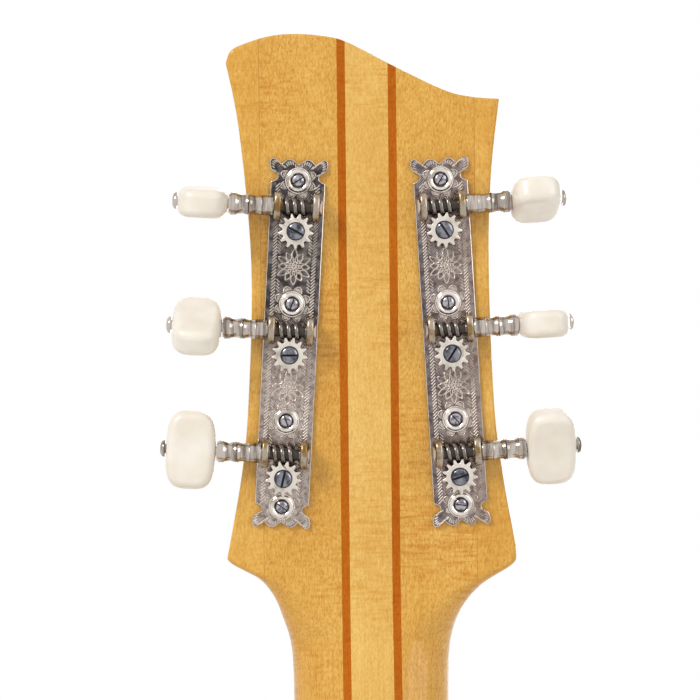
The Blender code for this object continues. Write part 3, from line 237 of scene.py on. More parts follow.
def tuner_places():
    """Each tuner as (string number, side, its frame), from the top row down."""
    places = []
    for side, name in ((-1, "treble"), (1, "bass")):
        for row in range(3):
            number = 3 - row if side < 0 else 4 + row
            places.append((number, side, PLATES[name] @ shift(0, -row * TUNER_SPACING, 0)))
    return places


# Materials

POLISH_SPREAD = 0.08
HATCH_PITCH = 0.5 * MM


def linear(text):
    """An sRGB hex colour as linear red, green, blue and alpha."""
    values = [int(text[i : i + 2], 16) / 255 for i in (1, 3, 5)]
    return (*(v / 12.92 if v <= 0.04045 else ((v + 0.055) / 1.055) ** 2.4 for v in values), 1)


def add(tree, kind, settings=None, inputs=None, stops=()):
    """A shader node with its settings, its sockets set or linked, and a ramp's (place, hex colour) stops."""
    node = tree.nodes.new("ShaderNode" + kind)
    for key, value in (settings or {}).items():
        setattr(node, key, value)
    for key, value in (inputs or {}).items():
        if isinstance(value, bpy.types.NodeSocket):
            tree.links.new(value, node.inputs[key])
        else:
            node.inputs[key].default_value = value
    if stops:
        elements = node.color_ramp.elements
        while len(elements) < len(stops):
            elements.new(0.5)
        for element, (place, colour) in zip(elements, stops):
            element.position = place
            element.color = linear(colour)
    return node


# A colour mix has its two colours and its result in these sockets
MIX_A = 6
MIX_B = 7
MIX_RESULT = 2
BLEND = {"data_type": "RGBA"}
MULTIPLY = {"data_type": "RGBA", "blend_type": "MULTIPLY"}
# A wave draws one band in this many units
WAVE_BAND = math.tau / 10


def new_material(name, colour, roughness, metallic=0.0):
    """A material, its node tree and its shader."""
    made = bpy.data.materials.new(name)
    made.use_nodes = True
    tree = made.node_tree
    shader = tree.nodes["Principled BSDF"]
    shader.inputs["Base Color"].default_value = linear(colour)
    shader.inputs["Roughness"].default_value = roughness
    shader.inputs["Metallic"].default_value = metallic
    return made, tree, shader


def plain(name, colour, roughness):
    return new_material(name, colour, roughness)[0]


def placed_by(tree, scale, offset=0.0):
    """Object coordinates times a scale."""
    place = add(tree, "TexCoord").outputs["Object"]
    inputs = {"Vector": place, "Scale": scale, "Location": (offset, 0, 0)}
    return add(tree, "Mapping", inputs=inputs).outputs["Vector"]


def mottle(tree, sizes, offset=0.0, **settings):
    """Uneven marks, each about so many millimetres across in X, Y and Z."""
    place = placed_by(tree, [1 / (size * MM) for size in sizes], offset)
    return add(tree, "TexNoise", inputs={"Vector": place, "Scale": 1.0, **settings}).outputs["Fac"]


def lacquered_wood(
    name,
    stops,
    fleck,
    ripple,
    ripple_size=(8, 8, 0.9),
    grain_size=(0.6, 0.6, 18),
    bare=0.42,
    coat=0.6,
    offset=0.0,
):
    """Wood under clear lacquer: fine lines along Z, short flecks, and patches of a ripple across."""
    made, tree, shader = new_material(name, stops[1][1], 0.4)
    # The lacquer mirrors the room; the wood under it hardly does
    shader.inputs["Specular IOR Level"].default_value = 0.1
    shader.inputs["Coat Weight"].default_value = coat
    shader.inputs["Coat Roughness"].default_value = 0.09
    lines = mottle(tree, grain_size, offset, Detail=4, Roughness=0.6)
    # Growth rings are wide bands here, because the strips are sawn along them
    rings = mottle(tree, (17, 17, 90), offset)
    share = add(tree, "Mix", BLEND, {"Factor": 0.42, MIX_A: lines, MIX_B: rings}).outputs[MIX_RESULT]
    wood = add(tree, "ValToRGB", inputs={"Fac": share}, stops=stops).outputs["Color"]
    # The ends of rays, a third of a millimetre wide and three times as long
    rays = mottle(tree, (0.38, 0.38, 1.1), offset, Detail=3)
    rays = add(tree, "ValToRGB", inputs={"Fac": rays}, stops=((0.42, "#FFFFFF"), (0.74, fleck)))
    inputs = {"Factor": 1.0, MIX_A: wood, MIX_B: rays.outputs["Color"]}
    flecked = add(tree, "Mix", MULTIPLY, inputs).outputs[MIX_RESULT]
    waves = mottle(tree, ripple_size, offset, Roughness=0.55, Distortion=0.3)
    waves = add(tree, "ValToRGB", inputs={"Fac": waves}, stops=((0.34, ripple), (0.56, "#FFFFFF")))
    patches = mottle(tree, (25, 25, 36), offset, Detail=1)
    patches = add(tree, "MapRange", inputs={"Value": patches, "From Min": bare, "From Max": bare + 0.2})
    inputs = {"Factor": patches.outputs["Result"], MIX_A: flecked, MIX_B: waves.outputs["Color"]}
    figured = add(tree, "Mix", MULTIPLY, inputs).outputs[MIX_RESULT]
    tree.links.new(figured, shader.inputs["Base Color"])
    # The lacquer has sunk a little into the grain
    dents = add(tree, "Bump", inputs={"Height": lines, "Distance": 0.02 * MM, "Strength": 0.2})
    tree.links.new(dents.outputs["Normal"], shader.inputs["Normal"])
    return made


def metal(name, colour, roughness, stain=None, stain_share=(0.5, 0.7), stain_size=(3.8, 3.8, 3.8)):
    """A plated or bare metal with slightly uneven polish, and tarnish where it has a stain colour."""
    made, tree, shader = new_material(name, colour, roughness, 1.0)
    # Handling has left cloudy spots of a millimetre, drawn coarser than the scratches that make them
    patches = mottle(tree, (1.1, 1.1, 1.1), Detail=3)
    smooth_end = max(roughness - POLISH_SPREAD, 0.03)
    inputs = {"Value": patches, "To Min": smooth_end, "To Max": roughness + POLISH_SPREAD}
    uneven = add(tree, "MapRange", inputs=inputs)
    tree.links.new(uneven.outputs["Result"], shader.inputs["Roughness"])
    if stain:
        stain_and_painted_reflection = mottle(tree, stain_size, Detail=4, Roughness=0.6)
        stops = ((stain_share[0], colour), (stain_share[1], stain))
        stain_and_painted_reflection = add(tree, "ValToRGB", inputs={"Fac": stain_and_painted_reflection}, stops=stops)
        tree.links.new(stain_and_painted_reflection.outputs["Color"], shader.inputs["Base Color"])
    return made


def plate_with_painted_reflection(name, axis, reach, first, second):
    """Stamped nickel silver darkened towards one end or side by a painted reflection, with fine cut lines."""
    made, tree, shader = new_material(name, first, 0.24, 1.0)
    # Painted reflection: the colour runs from the first tone to the second along one axis, standing in for a
    # dark reflection
    place = add(tree, "SeparateXYZ", inputs={"Vector": add(tree, "TexCoord").outputs["Object"]}).outputs[axis]
    share = add(tree, "MapRange", inputs={"Value": place, "From Min": reach[0], "From Max": reach[1]})
    stain_and_painted_reflection = add(tree, "ValToRGB", inputs={"Fac": share.outputs["Result"]}, stops=((0, first), (1, second)))
    clouds = mottle(tree, (1.1, 1.1, 1.1), Detail=3)
    clouds = add(tree, "ValToRGB", inputs={"Fac": clouds}, stops=((0.38, "#C4BCB8"), (0.58, "#FFFFFF")))
    inputs = {"Factor": 1.0, MIX_A: stain_and_painted_reflection.outputs["Color"], MIX_B: clouds.outputs["Color"]}
    ground = add(tree, "Mix", MULTIPLY, inputs).outputs[MIX_RESULT]
    # Fine slanted cuts half a millimetre apart, worn away in places
    slant = WAVE_BAND / (HATCH_PITCH * math.sqrt(2))
    inputs = {"Vector": placed_by(tree, (slant, 0, -slant)), "Scale": 1.0}
    cuts = add(tree, "TexWave", {"bands_direction": "DIAGONAL"}, inputs).outputs["Fac"]
    cuts = add(tree, "MapRange", inputs={"Value": cuts, "From Min": 0.55, "From Max": 0.95})
    worn = mottle(tree, (2.4, 2.4, 2.4))
    worn = add(tree, "MapRange", inputs={"Value": worn, "From Min": 0.44, "From Max": 0.6, "To Max": 0.7})
    inputs = {0: cuts.outputs["Result"], 1: worn.outputs["Result"]}
    share = add(tree, "Math", {"operation": "MULTIPLY"}, inputs).outputs["Value"]
    inputs = {"Factor": share, MIX_A: ground, MIX_B: linear("#CDC2BB")}
    tree.links.new(add(tree, "Mix", BLEND, inputs).outputs[MIX_RESULT], shader.inputs["Base Color"])
    return made


def tortoise():
    """Celluloid rolled from mixed batches and polished: red-brown clouds in near black."""
    made, tree, shader = new_material("celluloid_tortoise", "#3A1A0E", 0.15)
    clouds = mottle(tree, (14, 14, 14), Detail=3)
    stops = ((0.42, "#1A0B07"), (0.55, "#57260F"), (0.68, "#8A4419"))
    clouds = add(tree, "ValToRGB", inputs={"Fac": clouds}, stops=stops)
    tree.links.new(clouds.outputs["Color"], shader.inputs["Base Color"])
    return made


def plastic_button():
    """Off-white plastic, moulded and aged: a soft sheen, faint clouds and a slight glow under the skin."""
    made, tree, shader = new_material("plastic_offwhite_moulded", "#EDE4D7", 0.3)
    shader.inputs["Subsurface Weight"].default_value = 0.15
    shader.inputs["Subsurface Radius"].default_value = (1.0, 0.8, 0.6)
    shader.inputs["Subsurface Scale"].default_value = 1.0 * MM
    clouds = mottle(tree, (8, 8, 8))
    clouds = add(tree, "ValToRGB", inputs={"Fac": clouds}, stops=((0.35, "#E9DFD0"), (0.65, "#F1EADF")))
    tree.links.new(clouds.outputs["Color"], shader.inputs["Base Color"])
    return made


def make_woods():
    light = ((0.32, "#CF9638"), (0.50, "#DFAC4D"), (0.66, "#EABD66"))
    pale = ((0.32, "#DAA850"), (0.50, "#E5B962"), (0.66, "#ECC675"))
    dark = ((0.32, "#AE5903"), (0.50, "#B96405"), (0.66, "#C26E0C"))
    glue = ((0.32, "#B9822F"), (0.50, "#C48D38"), (0.66, "#CD9A48"))
    top = ((0.32, "#D9A04A"), (0.50, "#E3B162"), (0.66, "#ECC17A"))
    # The lengths of the marks in each wood, in millimetres
    flame = (77, 77, 4.8)
    cloudy = (33, 33, 33)
    spruce_lines = (0.9, 0.9, 110)
    return {
        # Rock maple, sanded, under lacquer that has aged to amber: pale gold, flecked, with a faint ripple
        "maple": lacquered_wood("maple_amber_lacquer", light, "#E2C48C", "#F0DAB0"),
        # The same wood cut from another board, with fewer flecks
        "maple_cheek": lacquered_wood("maple_cheek_amber_lacquer", light, "#EFD9AE", "#F8ECD2", offset=7.3),
        # The joint between two boards, where lacquer has soaked in and gone brown
        "glue_line": lacquered_wood("maple_end_at_glue_line", glue, "#EFD9AE", "#F8ECD2"),
        # A paler board in the middle of the neck
        "maple_centre": lacquered_wood("maple_centre_amber_lacquer", pale, "#F1DDB6", "#F6E7C8", offset=3.1),
        # Mahogany planed to thin strips: red-brown, straight and almost dull
        "mahogany": lacquered_wood("mahogany_lacquered", dark, "#EBD0B4", "#F7EBDD", coat=0.1, offset=5.7),
        # Maple with a strong curl: soft stripes across the back and the ribs
        "maple_flamed": lacquered_wood(
            "maple_flamed_lacquer", light, "#F3E2C4", "#EFD2A2", ripple_size=flame, bare=0.1, offset=1.3
        ),
        # Spruce, quarter sawn and carved: straight even lines from end to end
        "spruce": lacquered_wood(
            "spruce_carved_lacquer", top, "#F0DDB8", "#F6EBD6", ripple_size=cloudy, grain_size=spruce_lines
        ),
        # Ebony, scraped and oiled: black-brown with a low sheen
        "ebony": plain("ebony_oiled", "#1D1815", 0.42),
    }


def make_metals():
    # Where the painted dark reflection on each plate begins and ends, up the head and across it
    upwards = (58 * MM, 72 * MM)
    across = (14 * MM, 32 * MM)
    # Stains are so many millimetres across in X, Y and Z: those of the turned stems run round them
    rings = (1.4, 11, 11)
    fine = (2.4, 2.4, 2.4)
    finest = (1.1, 1.1, 1.1)
    return {
        # Turned brass with nickel plate, rubbed by fingers: bright rings between grey ones
        "nickel": metal("nickel_plated_worn", "#C6BCB3", 0.15, "#74695F", (0.42, 0.66), rings),
        # Painted reflection: the treble plate is dark at its top, the bass plate darker on its side nearer
        # the head's middle
        "plate_treble": plate_with_painted_reflection("nickel_silver_painted_dark_reflection_top", "Z", upwards, "#AA9D95", "#4C4747"),
        "plate_bass": plate_with_painted_reflection("nickel_silver_painted_dark_reflection_side", "X", across, "#6C6264", "#97857C"),
        # Nickel silver where a graver has cut it: light and matt
        "engraved": metal("nickel_silver_cut_bright", "#DDD4CC", 0.35),
        # Raised rings that hands and cloths have polished
        "boss": metal("nickel_silver_polished", "#E2DAD2", 0.13, "#B3A89E", (0.5, 0.66)),
        # Milled wheels with a satin plate, greyer in spots
        "gear": metal("nickel_satin_gear", "#E0D7CD", 0.34, "#B4A99D"),
        # Ears whose plate has worn through to the brass
        "ear": metal("nickel_worn_to_brass", "#AEA292", 0.26, "#86693A", (0.46, 0.62)),
        # Cut steel threads under a film of brown oil
        "worm": metal("steel_worm_oiled", "#877F79", 0.22, "#6A5844"),
        # Screw heads blued by heat, mottled blue-grey and dark grey
        "blued": metal("steel_blued_screw", "#8D8D96", 0.2, "#45444B", (0.42, 0.62), fine),
        # Turned steel screw heads gone grey in spots
        "screw": metal("steel_screw", "#B4B0B5", 0.2, "#6C6970", (0.46, 0.6), finest),
        # Fittings with unworn nickel plate: an even mirror with a warm tone
        "chrome": metal("nickel_bright", "#CCC6C0", 0.14),
        # Drawn steel wire: cool and bright
        "steel": metal("steel_plain_string", "#C6C6C4", 0.25),
        # Bronze wire wound on a core: dull and brown, its turns too fine to show
        "bronze": metal("bronze_wound_string", "#B98E5C", 0.34),
    }


def make_plastics():
    return {
        # Painted shade: the deep end of a cut or slot and the rings round screw heads; and old grease round
        # the worms, partly painted shade between the threads
        "dark": plain("shadow_in_slot", "#242124", 0.8),
        "grease_and_shade": plain("old_grease_and_painted_shade", "#2E2924", 0.45),
        # Cattle bone, filed and buffed: cream with a soft sheen
        "bone": plain("bone_polished", "#E6DCC0", 0.35),
        # Cellulose nitrate strip, scraped flush and lacquered: yellowed cream
        "binding": plain("celluloid_cream_binding", "#EADDB8", 0.3),
        # Mother-of-pearl discs, polished flush
        "pearl": plain("shell_inlay", "#E8E6DC", 0.18),
        "tortoise": tortoise(),
        "ivoroid": plastic_button(),
    }


FINISH = {**make_woods(), **make_metals(), **make_plastics()}

# Ways to shape, finish and place a piece


def only(obj):
    """Selects one object alone and makes it active."""
    bpy.ops.object.select_all(action="DESELECT")
    obj.select_set(True)
    bpy.context.view_layer.objects.active = obj


def applied(obj, kind, **settings):
    """Adds a modifier and applies it."""
    only(obj)
    modifier = obj.modifiers.new(kind, kind)
    for key, value in settings.items():
        setattr(modifier, key, value)
    bpy.ops.object.modifier_apply(modifier=modifier.name)
    return obj


def rounded(obj, width, segments=2, angle=30):
    return applied(
        obj,
        "BEVEL",
        width=width,
        segments=segments,
        limit_method="ANGLE",
        angle_limit=math.radians(angle),
        use_clamp_overlap=True,
    )


def in_edit(obj, action):
    """Runs operators on the whole mesh in edit mode."""
    only(obj)
    bpy.ops.object.mode_set(mode="EDIT")
    bpy.ops.mesh.select_all(action="SELECT")
    action()
    bpy.ops.object.mode_set(mode="OBJECT")
    return obj


def outwards(obj):
    return in_edit(obj, lambda: bpy.ops.mesh.normals_make_consistent(inside=False))


def merged(obj, distance=1e-6):
    return in_edit(obj, lambda: bpy.ops.mesh.remove_doubles(threshold=distance))


def slab(name, outline, thickness, bevel=0.0, segments=2, angle=30, fill="NGON"):
    """An outline extruded from z = 0 upwards, its edges rounded; with fill NOTHING it is an open band."""
    bpy.ops.mesh.primitive_circle_add(vertices=len(outline), radius=1, fill_type=fill)
    obj = bpy.context.object
    obj.name = name
    # A circle's points are drawn out to the outline
    for vertex, (x, y) in zip(obj.data.vertices, outline):
        vertex.co = (x, y, 0)
    move = {"value": (0, 0, thickness)}
    in_edit(obj, lambda: bpy.ops.mesh.extrude_region_move(TRANSFORM_OT_translate=move))
    outwards(obj)
    if bevel:
        rounded(obj, bevel, segments, angle)
    return obj


def spun(name, profile, steps=40):
    """A turned piece: a disc extruded and resized along a profile of (radius, height) pairs."""
    (radius, height), *rest = profile
    middle = (0, 0, height)
    bpy.ops.mesh.primitive_circle_add(vertices=steps, radius=radius, fill_type="NGON", location=middle)
    obj = bpy.context.object
    obj.name = name
    bpy.ops.object.mode_set(mode="EDIT")
    bpy.ops.mesh.select_all(action="SELECT")
    for wider, higher in rest:
        bpy.ops.mesh.extrude_region_move(TRANSFORM_OT_translate={"value": (0, 0, higher - height)})
        share = wider / radius
        bpy.ops.transform.resize(value=(share, share, 1), center_override=(0, 0, higher))
        radius = wider
        height = higher
    bpy.ops.mesh.select_all(action="SELECT")
    bpy.ops.mesh.normals_make_consistent(inside=False)
    bpy.ops.object.mode_set(mode="OBJECT")
    settle(obj, Matrix.Identity(4))
    return obj


def shares(pairs, radius, start, unit):
    """A part of a turned profile, from (share of a radius, units from its start) pairs."""
    return [(radius * share, start + unit * along) for share, along in pairs]


def box(name, low, high):
    low = Vector(low)
    high = Vector(high)
    bpy.ops.mesh.primitive_cube_add(size=1, location=(low + high) / 2, scale=high - low)
    obj = bpy.context.object
    obj.name = name
    return settle(obj, Matrix.Identity(4))


def wires(name, lines, radius, sides=8, closed=False):
    """Round wires along chains of points, from one curve made a mesh."""
    curve = bpy.data.curves.new(name, "CURVE")
    curve.dimensions = "3D"
    curve.bevel_depth = radius
    curve.bevel_resolution = max(sides // 2 - 2, 0)
    curve.use_fill_caps = not closed
    for points in lines:
        spline = curve.splines.new("POLY")
        spline.points.add(len(points) - 1)
        for target, point in zip(spline.points, points):
            target.co = (*point, 1)
        spline.use_cyclic_u = closed
    obj = bpy.data.objects.new(name, curve)
    bpy.context.scene.collection.objects.link(obj)
    only(obj)
    bpy.ops.object.convert(target="MESH")
    return merged(bpy.context.object)


def wrapped(name, rings):
    """A closed skin through rings of points: a grid rolled into a tube, its ends filled."""
    rows = len(rings)
    columns = len(rings[0])
    bpy.ops.mesh.primitive_grid_add(x_subdivisions=columns, y_subdivisions=rows - 1, size=1)
    obj = bpy.context.object
    obj.name = name
    width = columns + 1
    for index, vertex in enumerate(obj.data.vertices):
        vertex.co = rings[index // width][index % width % columns]

    def close():
        bpy.ops.mesh.remove_doubles(threshold=1e-7)
        bpy.ops.mesh.select_all(action="DESELECT")
        bpy.ops.mesh.select_non_manifold()
        bpy.ops.mesh.fill_holes(sides=0)
        bpy.ops.mesh.select_all(action="SELECT")
        bpy.ops.mesh.normals_make_consistent(inside=False)

    in_edit(obj, close)
    return settle(obj, Matrix.Identity(4))


def settle(obj, matrix):
    """Puts the object's place, and a further move, into its mesh."""
    bpy.context.view_layer.update()
    obj.data.transform(matrix @ obj.matrix_world)
    obj.matrix_world = Matrix.Identity(4)
    if matrix.determinant() < 0:
        outwards(obj)
    return obj


def duplicate(obj, name, matrix=Matrix.Identity(4)):
    copy = obj.copy()
    copy.data = obj.data.copy()
    copy.name = name
    bpy.context.scene.collection.objects.link(copy)
    return settle(copy, matrix)


def joined(name, objects):
    """Several objects as one, each keeping its materials."""
    only(objects[0])
    for obj in objects[1:]:
        obj.select_set(True)
    bpy.ops.object.join()
    obj = bpy.context.object
    obj.name = name
    return obj


def cut(obj, *tools):
    for tool in tools:
        applied(obj, "BOOLEAN", operation="DIFFERENCE", solver="EXACT", object=tool)
        bpy.data.objects.remove(tool, do_unlink=True)
    return obj


def coated(obj, finish):
    """One material all over."""
    obj.data.materials.clear()
    obj.data.materials.append(FINISH[finish])
    return obj


def shaded(obj, angle=35, weighted=False):
    only(obj)
    bpy.ops.object.shade_smooth_by_angle(angle=math.radians(angle))
    if weighted:
        applied(obj, "WEIGHTED_NORMAL", keep_sharp=True)
    return obj


def finished(obj, finish, angle=35, weighted=False):
    """One material all over, and smooth faces that meet at less than an angle."""
    return shaded(coated(obj, finish), angle, weighted)


def placed(obj, body, slot, *nodes):
    """Lets a finished piece ride on its body, and stand for its nodes."""
    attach(obj, body)
    if nodes:
        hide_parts(*nodes)
    return obj


def refined(node, name, body, slot, finish, bevel=0.0, segments=2, angle=30):
    """A finer copy of a solid: merged, its flat faces made whole and its edges rounded."""
    obj = duplicate(frame["nodes"][node], name)
    obj.parent = None
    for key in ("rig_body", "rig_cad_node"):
        if key in obj:
            del obj[key]
    merged(obj)
    in_edit(obj, lambda: bpy.ops.mesh.dissolve_limited(angle_limit=math.radians(1)))
    if bevel:
        rounded(obj, bevel, segments, angle)
    return placed(finished(obj, finish, 40), body, slot, node)


def recoat(finish, *nodes):
    """A better material on solids whose shape is right."""
    for node in nodes:
        obj = frame["nodes"][node]
        for slot in obj.material_slots:
            slot.material = FINISH[finish]


def smooth(points, steps=8):
    """A Catmull-Rom curve through the points, open at both ends."""
    ends = [points[0], *points, points[-1]]

    def between(p, q, r, s, t):
        bend = 2 * p - 5 * q + 4 * r - s
        return 0.5 * (2 * q + (r - p) * t + bend * t * t + (3 * q - p - 3 * r + s) * t**3)

    made = []
    for four in zip(ends, ends[1:], ends[2:], ends[3:]):
        for step in range(steps):
            made.append(tuple(between(*values, step / steps) for values in zip(*four)))
    return [*made, points[-1]]


def millimetres(points):
    return [(x * MM, y * MM) for x, y in points]


# Camera: behind the head, a little to its left
VIEW_CENTRE = (-5.4 * MM, -HEAD_THICKNESS, 83.6 * MM)
VIEW_DISTANCE = 0.65
VIEW_YAW = math.radians(1.5)
VIEW_PITCH = math.radians(2)
VIEW_ROLL = math.radians(-0.58)
VIEW_HEIGHT = 199.2 * MM
SENSOR_HEIGHT = 24


def make_camera():
    camera = bpy.data.cameras.new("camera")
    camera.sensor_fit = "VERTICAL"
    camera.sensor_height = SENSOR_HEIGHT
    camera.lens = SENSOR_HEIGHT * VIEW_DISTANCE / VIEW_HEIGHT
    camera.clip_start = 0.05
    camera.clip_end = 20
    obj = bpy.data.objects.new("camera", camera)
    bpy.context.scene.collection.objects.link(obj)
    # The camera looks along its own -Z; standing it up makes it look along the head's +Y
    aim = turn(90, "X")
    swing = Matrix.Rotation(-VIEW_YAW, 4, "Z") @ Matrix.Rotation(-VIEW_PITCH, 4, "X")
    roll = Matrix.Rotation(VIEW_ROLL, 4, "Z")
    obj.matrix_world = HEAD @ shift(*VIEW_CENTRE) @ swing @ aim @ roll @ shift(0, 0, VIEW_DISTANCE)
    bpy.context.scene.camera = obj


make_camera()

# Head and neck

# The head's edges, in millimetres from the nut, as (across, up) seen from the back
HEAD_TOP_EDGE = (
    (-39.8, 165.3),
    (-38.2, 168.9),
    (-33.4, 171.1),
    (-27.4, 172.8),
    (-21.0, 173.4),
    (-13.0, 172.9),
    (-5.4, 171.0),
    (8.1, 164.0),
    (21.5, 157.5),
    (29.0, 155.4),
    (37.8, 154.6),
)
HEAD_BASS_EDGE = ((37.8, 154.6), (35.3, 133.0), (34.5, 107.0), (35.6, 70.0), (37.8, 49.0), (41.6, 27.0))
HEAD_TREBLE_EDGE = (
    (-40.5, 27.0),
    (-36.5, 49.0),
    (-34.4, 70.0),
    (-33.2, 108.0),
    (-36.2, 145.6),
    (-39.8, 165.3),
)
SHOULDER = 27.0 * MM
# Sections from the shoulder down: height from the nut's line, half width to each side,
# depth, and how far the corner's round reaches in across and in depth
FLARE = (
    (27.0, 40.5, 41.6, 13.0, 1.3, 1.3),
    (25.6, 40.8, 41.7, 13.0, 1.4, 1.4),
    (24.0, 40.9, 41.8, 13.0, 1.8, 1.5),
    (22.4, 39.2, 41.4, 13.0, 2.8, 1.9),
    (20.7, 36.3, 39.6, 13.1, 4.0, 2.6),
    (18.3, 32.2, 35.7, 13.3, 5.6, 3.7),
    (15.4, 29.5, 31.7, 13.5, 8.0, 5.3),
    (11.2, 27.1, 28.0, 13.9, 11.0, 7.4),
    (6.0, 25.3, 25.2, 14.5, 15.0, 10.0),
    (0.0, 23.5, 23.5, 15.2, 18.5, 12.6),
    (-7.0, 22.6, 22.7, 15.5, 20.0, 14.4),
    (-20.2, 22.25, 22.25, 15.5, 20.8, 15.0),
)
# How the heel deepens: height above the body's edge, depth, share of the neck's width
HEEL = (
    (75, 17.8, 1.0),
    (50, 20.5, 1.0),
    (34, 28, 0.98),
    (21, 42, 0.93),
    (12, 62, 0.87),
    (6, 80, 0.82),
    (0, 90.5, 0.8),
)
# Where the neck's line bends into the head's, from below the nut's line upwards
BEND_BELOW_NUT = 16 * MM
BEND_LENGTH = 26 * MM
# How far the round corners reach in on the shaft and heel, as shares of half the width and of the depth
ROUND_ACROSS = 0.955
ROUND_DEEP = 0.965
# Below this height in millimetres the rings lean with the body's edge, and the last one lies so far inside
LEAN_BELOW = 12
HEEL_IN_BODY = 3 * MM
CORNER_STEPS = 14
FLAT_STEPS = 12
SIDE_STEPS = 3
FRONT_STEPS = 10
CORNER_POWER = 2.15


def straight(first, last, steps):
    """Points from the first towards the last, without the last."""
    (x, y), (to_x, to_y) = first, last
    return [(x + (to_x - x) * step / steps, y + (to_y - y) * step / steps) for step in range(steps)]


def section(left, right, depth, across, deep, front_left=None, front_right=None):
    """A ring round the neck: flat in front, straight at the sides and rounded at its back corners."""
    front_left = left if front_left is None else front_left
    front_right = right if front_right is None else front_right
    side = deep - depth
    corner = []
    for step in range(CORNER_STEPS + 1):
        angle = math.pi / 2 * step / CORNER_STEPS
        x = across * math.cos(angle) ** (2 / CORNER_POWER)
        y = deep * math.sin(angle) ** (2 / CORNER_POWER)
        corner.append((x, y))
    return [
        *straight((front_right, 0), (right, side), SIDE_STEPS),
        *((right - across + x, side - y) for x, y in corner[:-1]),
        *straight((right - across, -depth), (across - left, -depth), FLAT_STEPS),
        *((across - left - x, side - y) for x, y in corner[:0:-1]),
        *straight((-left, side), (-front_left, 0), SIDE_STEPS),
        *straight((-front_left, 0), (front_right, 0), FRONT_STEPS),
    ]


def eased(value):
    value = min(max(value, 0), 1)
    return value * value * (3 - 2 * value)


def neck_plane(height):
    """The plane of a ring, so high above the nut's line, turning from the neck's line to the head's."""
    if height > 0:
        foot = HEAD @ Vector((0, 0, height))
    else:
        foot = Vector((0, 0, NUT_Z + height))
    angle = HEAD_ANGLE * eased((height + BEND_BELOW_NUT) / BEND_LENGTH)
    return Matrix.Translation(foot) @ Matrix.Rotation(angle, 4, "X")


def board_half_width(distance):
    """Half the width of the fingerboard, so far below its upper end."""
    return (NUT_WIDTH + (BOARD_END_WIDTH - NUT_WIDTH) * distance / BOARD_LENGTH) / 2


def neck_rings():
    rings = []
    for height, left, right, depth, across, deep in smooth(FLARE, 6):
        plane = neck_plane(height * MM)
        ring = section(left * MM, right * MM, depth * MM, across * MM, deep * MM)
        rings.append([plane @ Vector((x, y, 0)) for x, y in ring])
    reach = BOARD_TOP_Z - JOIN_Z
    start = reach - HEEL[0][0] * MM
    shaft = []
    for step in range(1, 7):
        below = start * step / 7
        shaft.append(((reach - below) / MM, NECK_DEPTH / MM + NECK_DEPTH_GROWTH / MM * step / 7, 1.0))
    for height, depth, share in smooth([*shaft, *HEEL], 5):
        front = board_half_width(reach - height * MM)
        half = front * share
        ring = section(half, half, depth * MM, half * ROUND_ACROSS, depth * MM * ROUND_DEEP, front, front)
        lean = eased(1 - height / LEAN_BELOW) * math.tan(BODY_TILT)
        rings.append([Vector((x, y, JOIN_Z + height * MM - lean * y)) for x, y in ring])
    rings.append([point - Vector((0, 0, HEEL_IN_BODY)) for point in rings[-1]])
    return rings


def head_outline(steps=6):
    """The head's outline above the shoulder, from the top left corner clockwise."""
    top = smooth(millimetres(HEAD_TOP_EDGE), steps)
    bass = smooth(millimetres(HEAD_BASS_EDGE), steps)
    treble = smooth(millimetres(HEAD_TREBLE_EDGE), steps)
    return [*top[:-1], *bass, *treble[:-1]]


def head_body():
    """The flat head, its edges rounded at the back only, and not where it runs on into the neck."""
    head = slab("head", head_outline(), HEAD_THICKNESS)
    only(head)
    weights = head.data.attributes.new("bevel_weight_edge", "FLOAT", "EDGE")
    for edge in head.data.edges:
        ends = [head.data.vertices[i].co for i in edge.vertices]
        at_back = all(end.z > HEAD_THICKNESS / 2 for end in ends)
        at_shoulder = all(end.y < SHOULDER + TOLERANCE for end in ends)
        weights.data[edge.index].value = 1.0 if at_back and not at_shoulder else 0.0
    applied(head, "BEVEL", width=HEAD_EDGE_ROUND, segments=5, limit_method="WEIGHT")
    return settle(head, HEAD @ STAND)


def in_strips(obj):
    """Cuts the faces along the glue lines and gives each strip its wood, from the middle outwards."""
    centre = CENTRE_STRIP_WIDTH / 2
    blank = BLANK_WIDTH / 2
    edges = (centre, centre + DARK_STRIP_WIDTH, blank, blank + GLUE_LINE)
    for x in (*edges, *(-edge for edge in edges)):
        in_edit(obj, lambda: bpy.ops.mesh.bisect(plane_co=(x, 0, 0), plane_no=(1, 0, 0)))
    obj.data.materials.clear()
    # The centre strip, a dark stripe, a wing, the glue, and a cheek glued on to widen the head
    for finish in ("maple_centre", "mahogany", "maple", "glue_line", "maple_cheek"):
        obj.data.materials.append(FINISH[finish])
    for face in obj.data.polygons:
        face.material_index = sum(abs(face.center.x) > edge for edge in edges)
    return obj


def make_head_and_neck():
    """The five glued strips of the neck, shaped as one: the flat head and the carved neck below it."""
    neck = wrapped("neck", neck_rings())
    both = in_strips(joined("neck_and_head", [head_body(), neck]))
    shaded(both, 32, weighted=True)
    strips = ("neck_core", "neck_stripe_treble", "neck_stripe_bass", "neck_wing_treble", "neck_wing_bass")
    placed(both, "guitar", "maple", *strips)


def make_veneer():
    """The thin sheet on the front of the head, from the nut up."""
    bass = []
    treble = []
    for height, left, right, *_ in smooth(FLARE, 4):
        if height > 0.5:
            bass.append((right * MM, height * MM))
            treble.append((-left * MM, height * MM))
    outline = head_outline()
    corner = next(i for i, point in enumerate(outline) if point[1] <= SHOULDER) + 1
    outline[corner:corner] = [*bass[1:], *treble[:0:-1]]
    sheet = slab("head_face", outline, VENEER_THICKNESS, VENEER_EDGE_ROUND, 2, 40)
    settle(sheet, HEAD @ shift(0, VENEER_THICKNESS + GLUE / 2, 0) @ STAND)
    placed(finished(sheet, "maple", 32, weighted=True), "guitar", "maple", "head_veneer")


make_head_and_neck()
make_veneer()

# Tuners

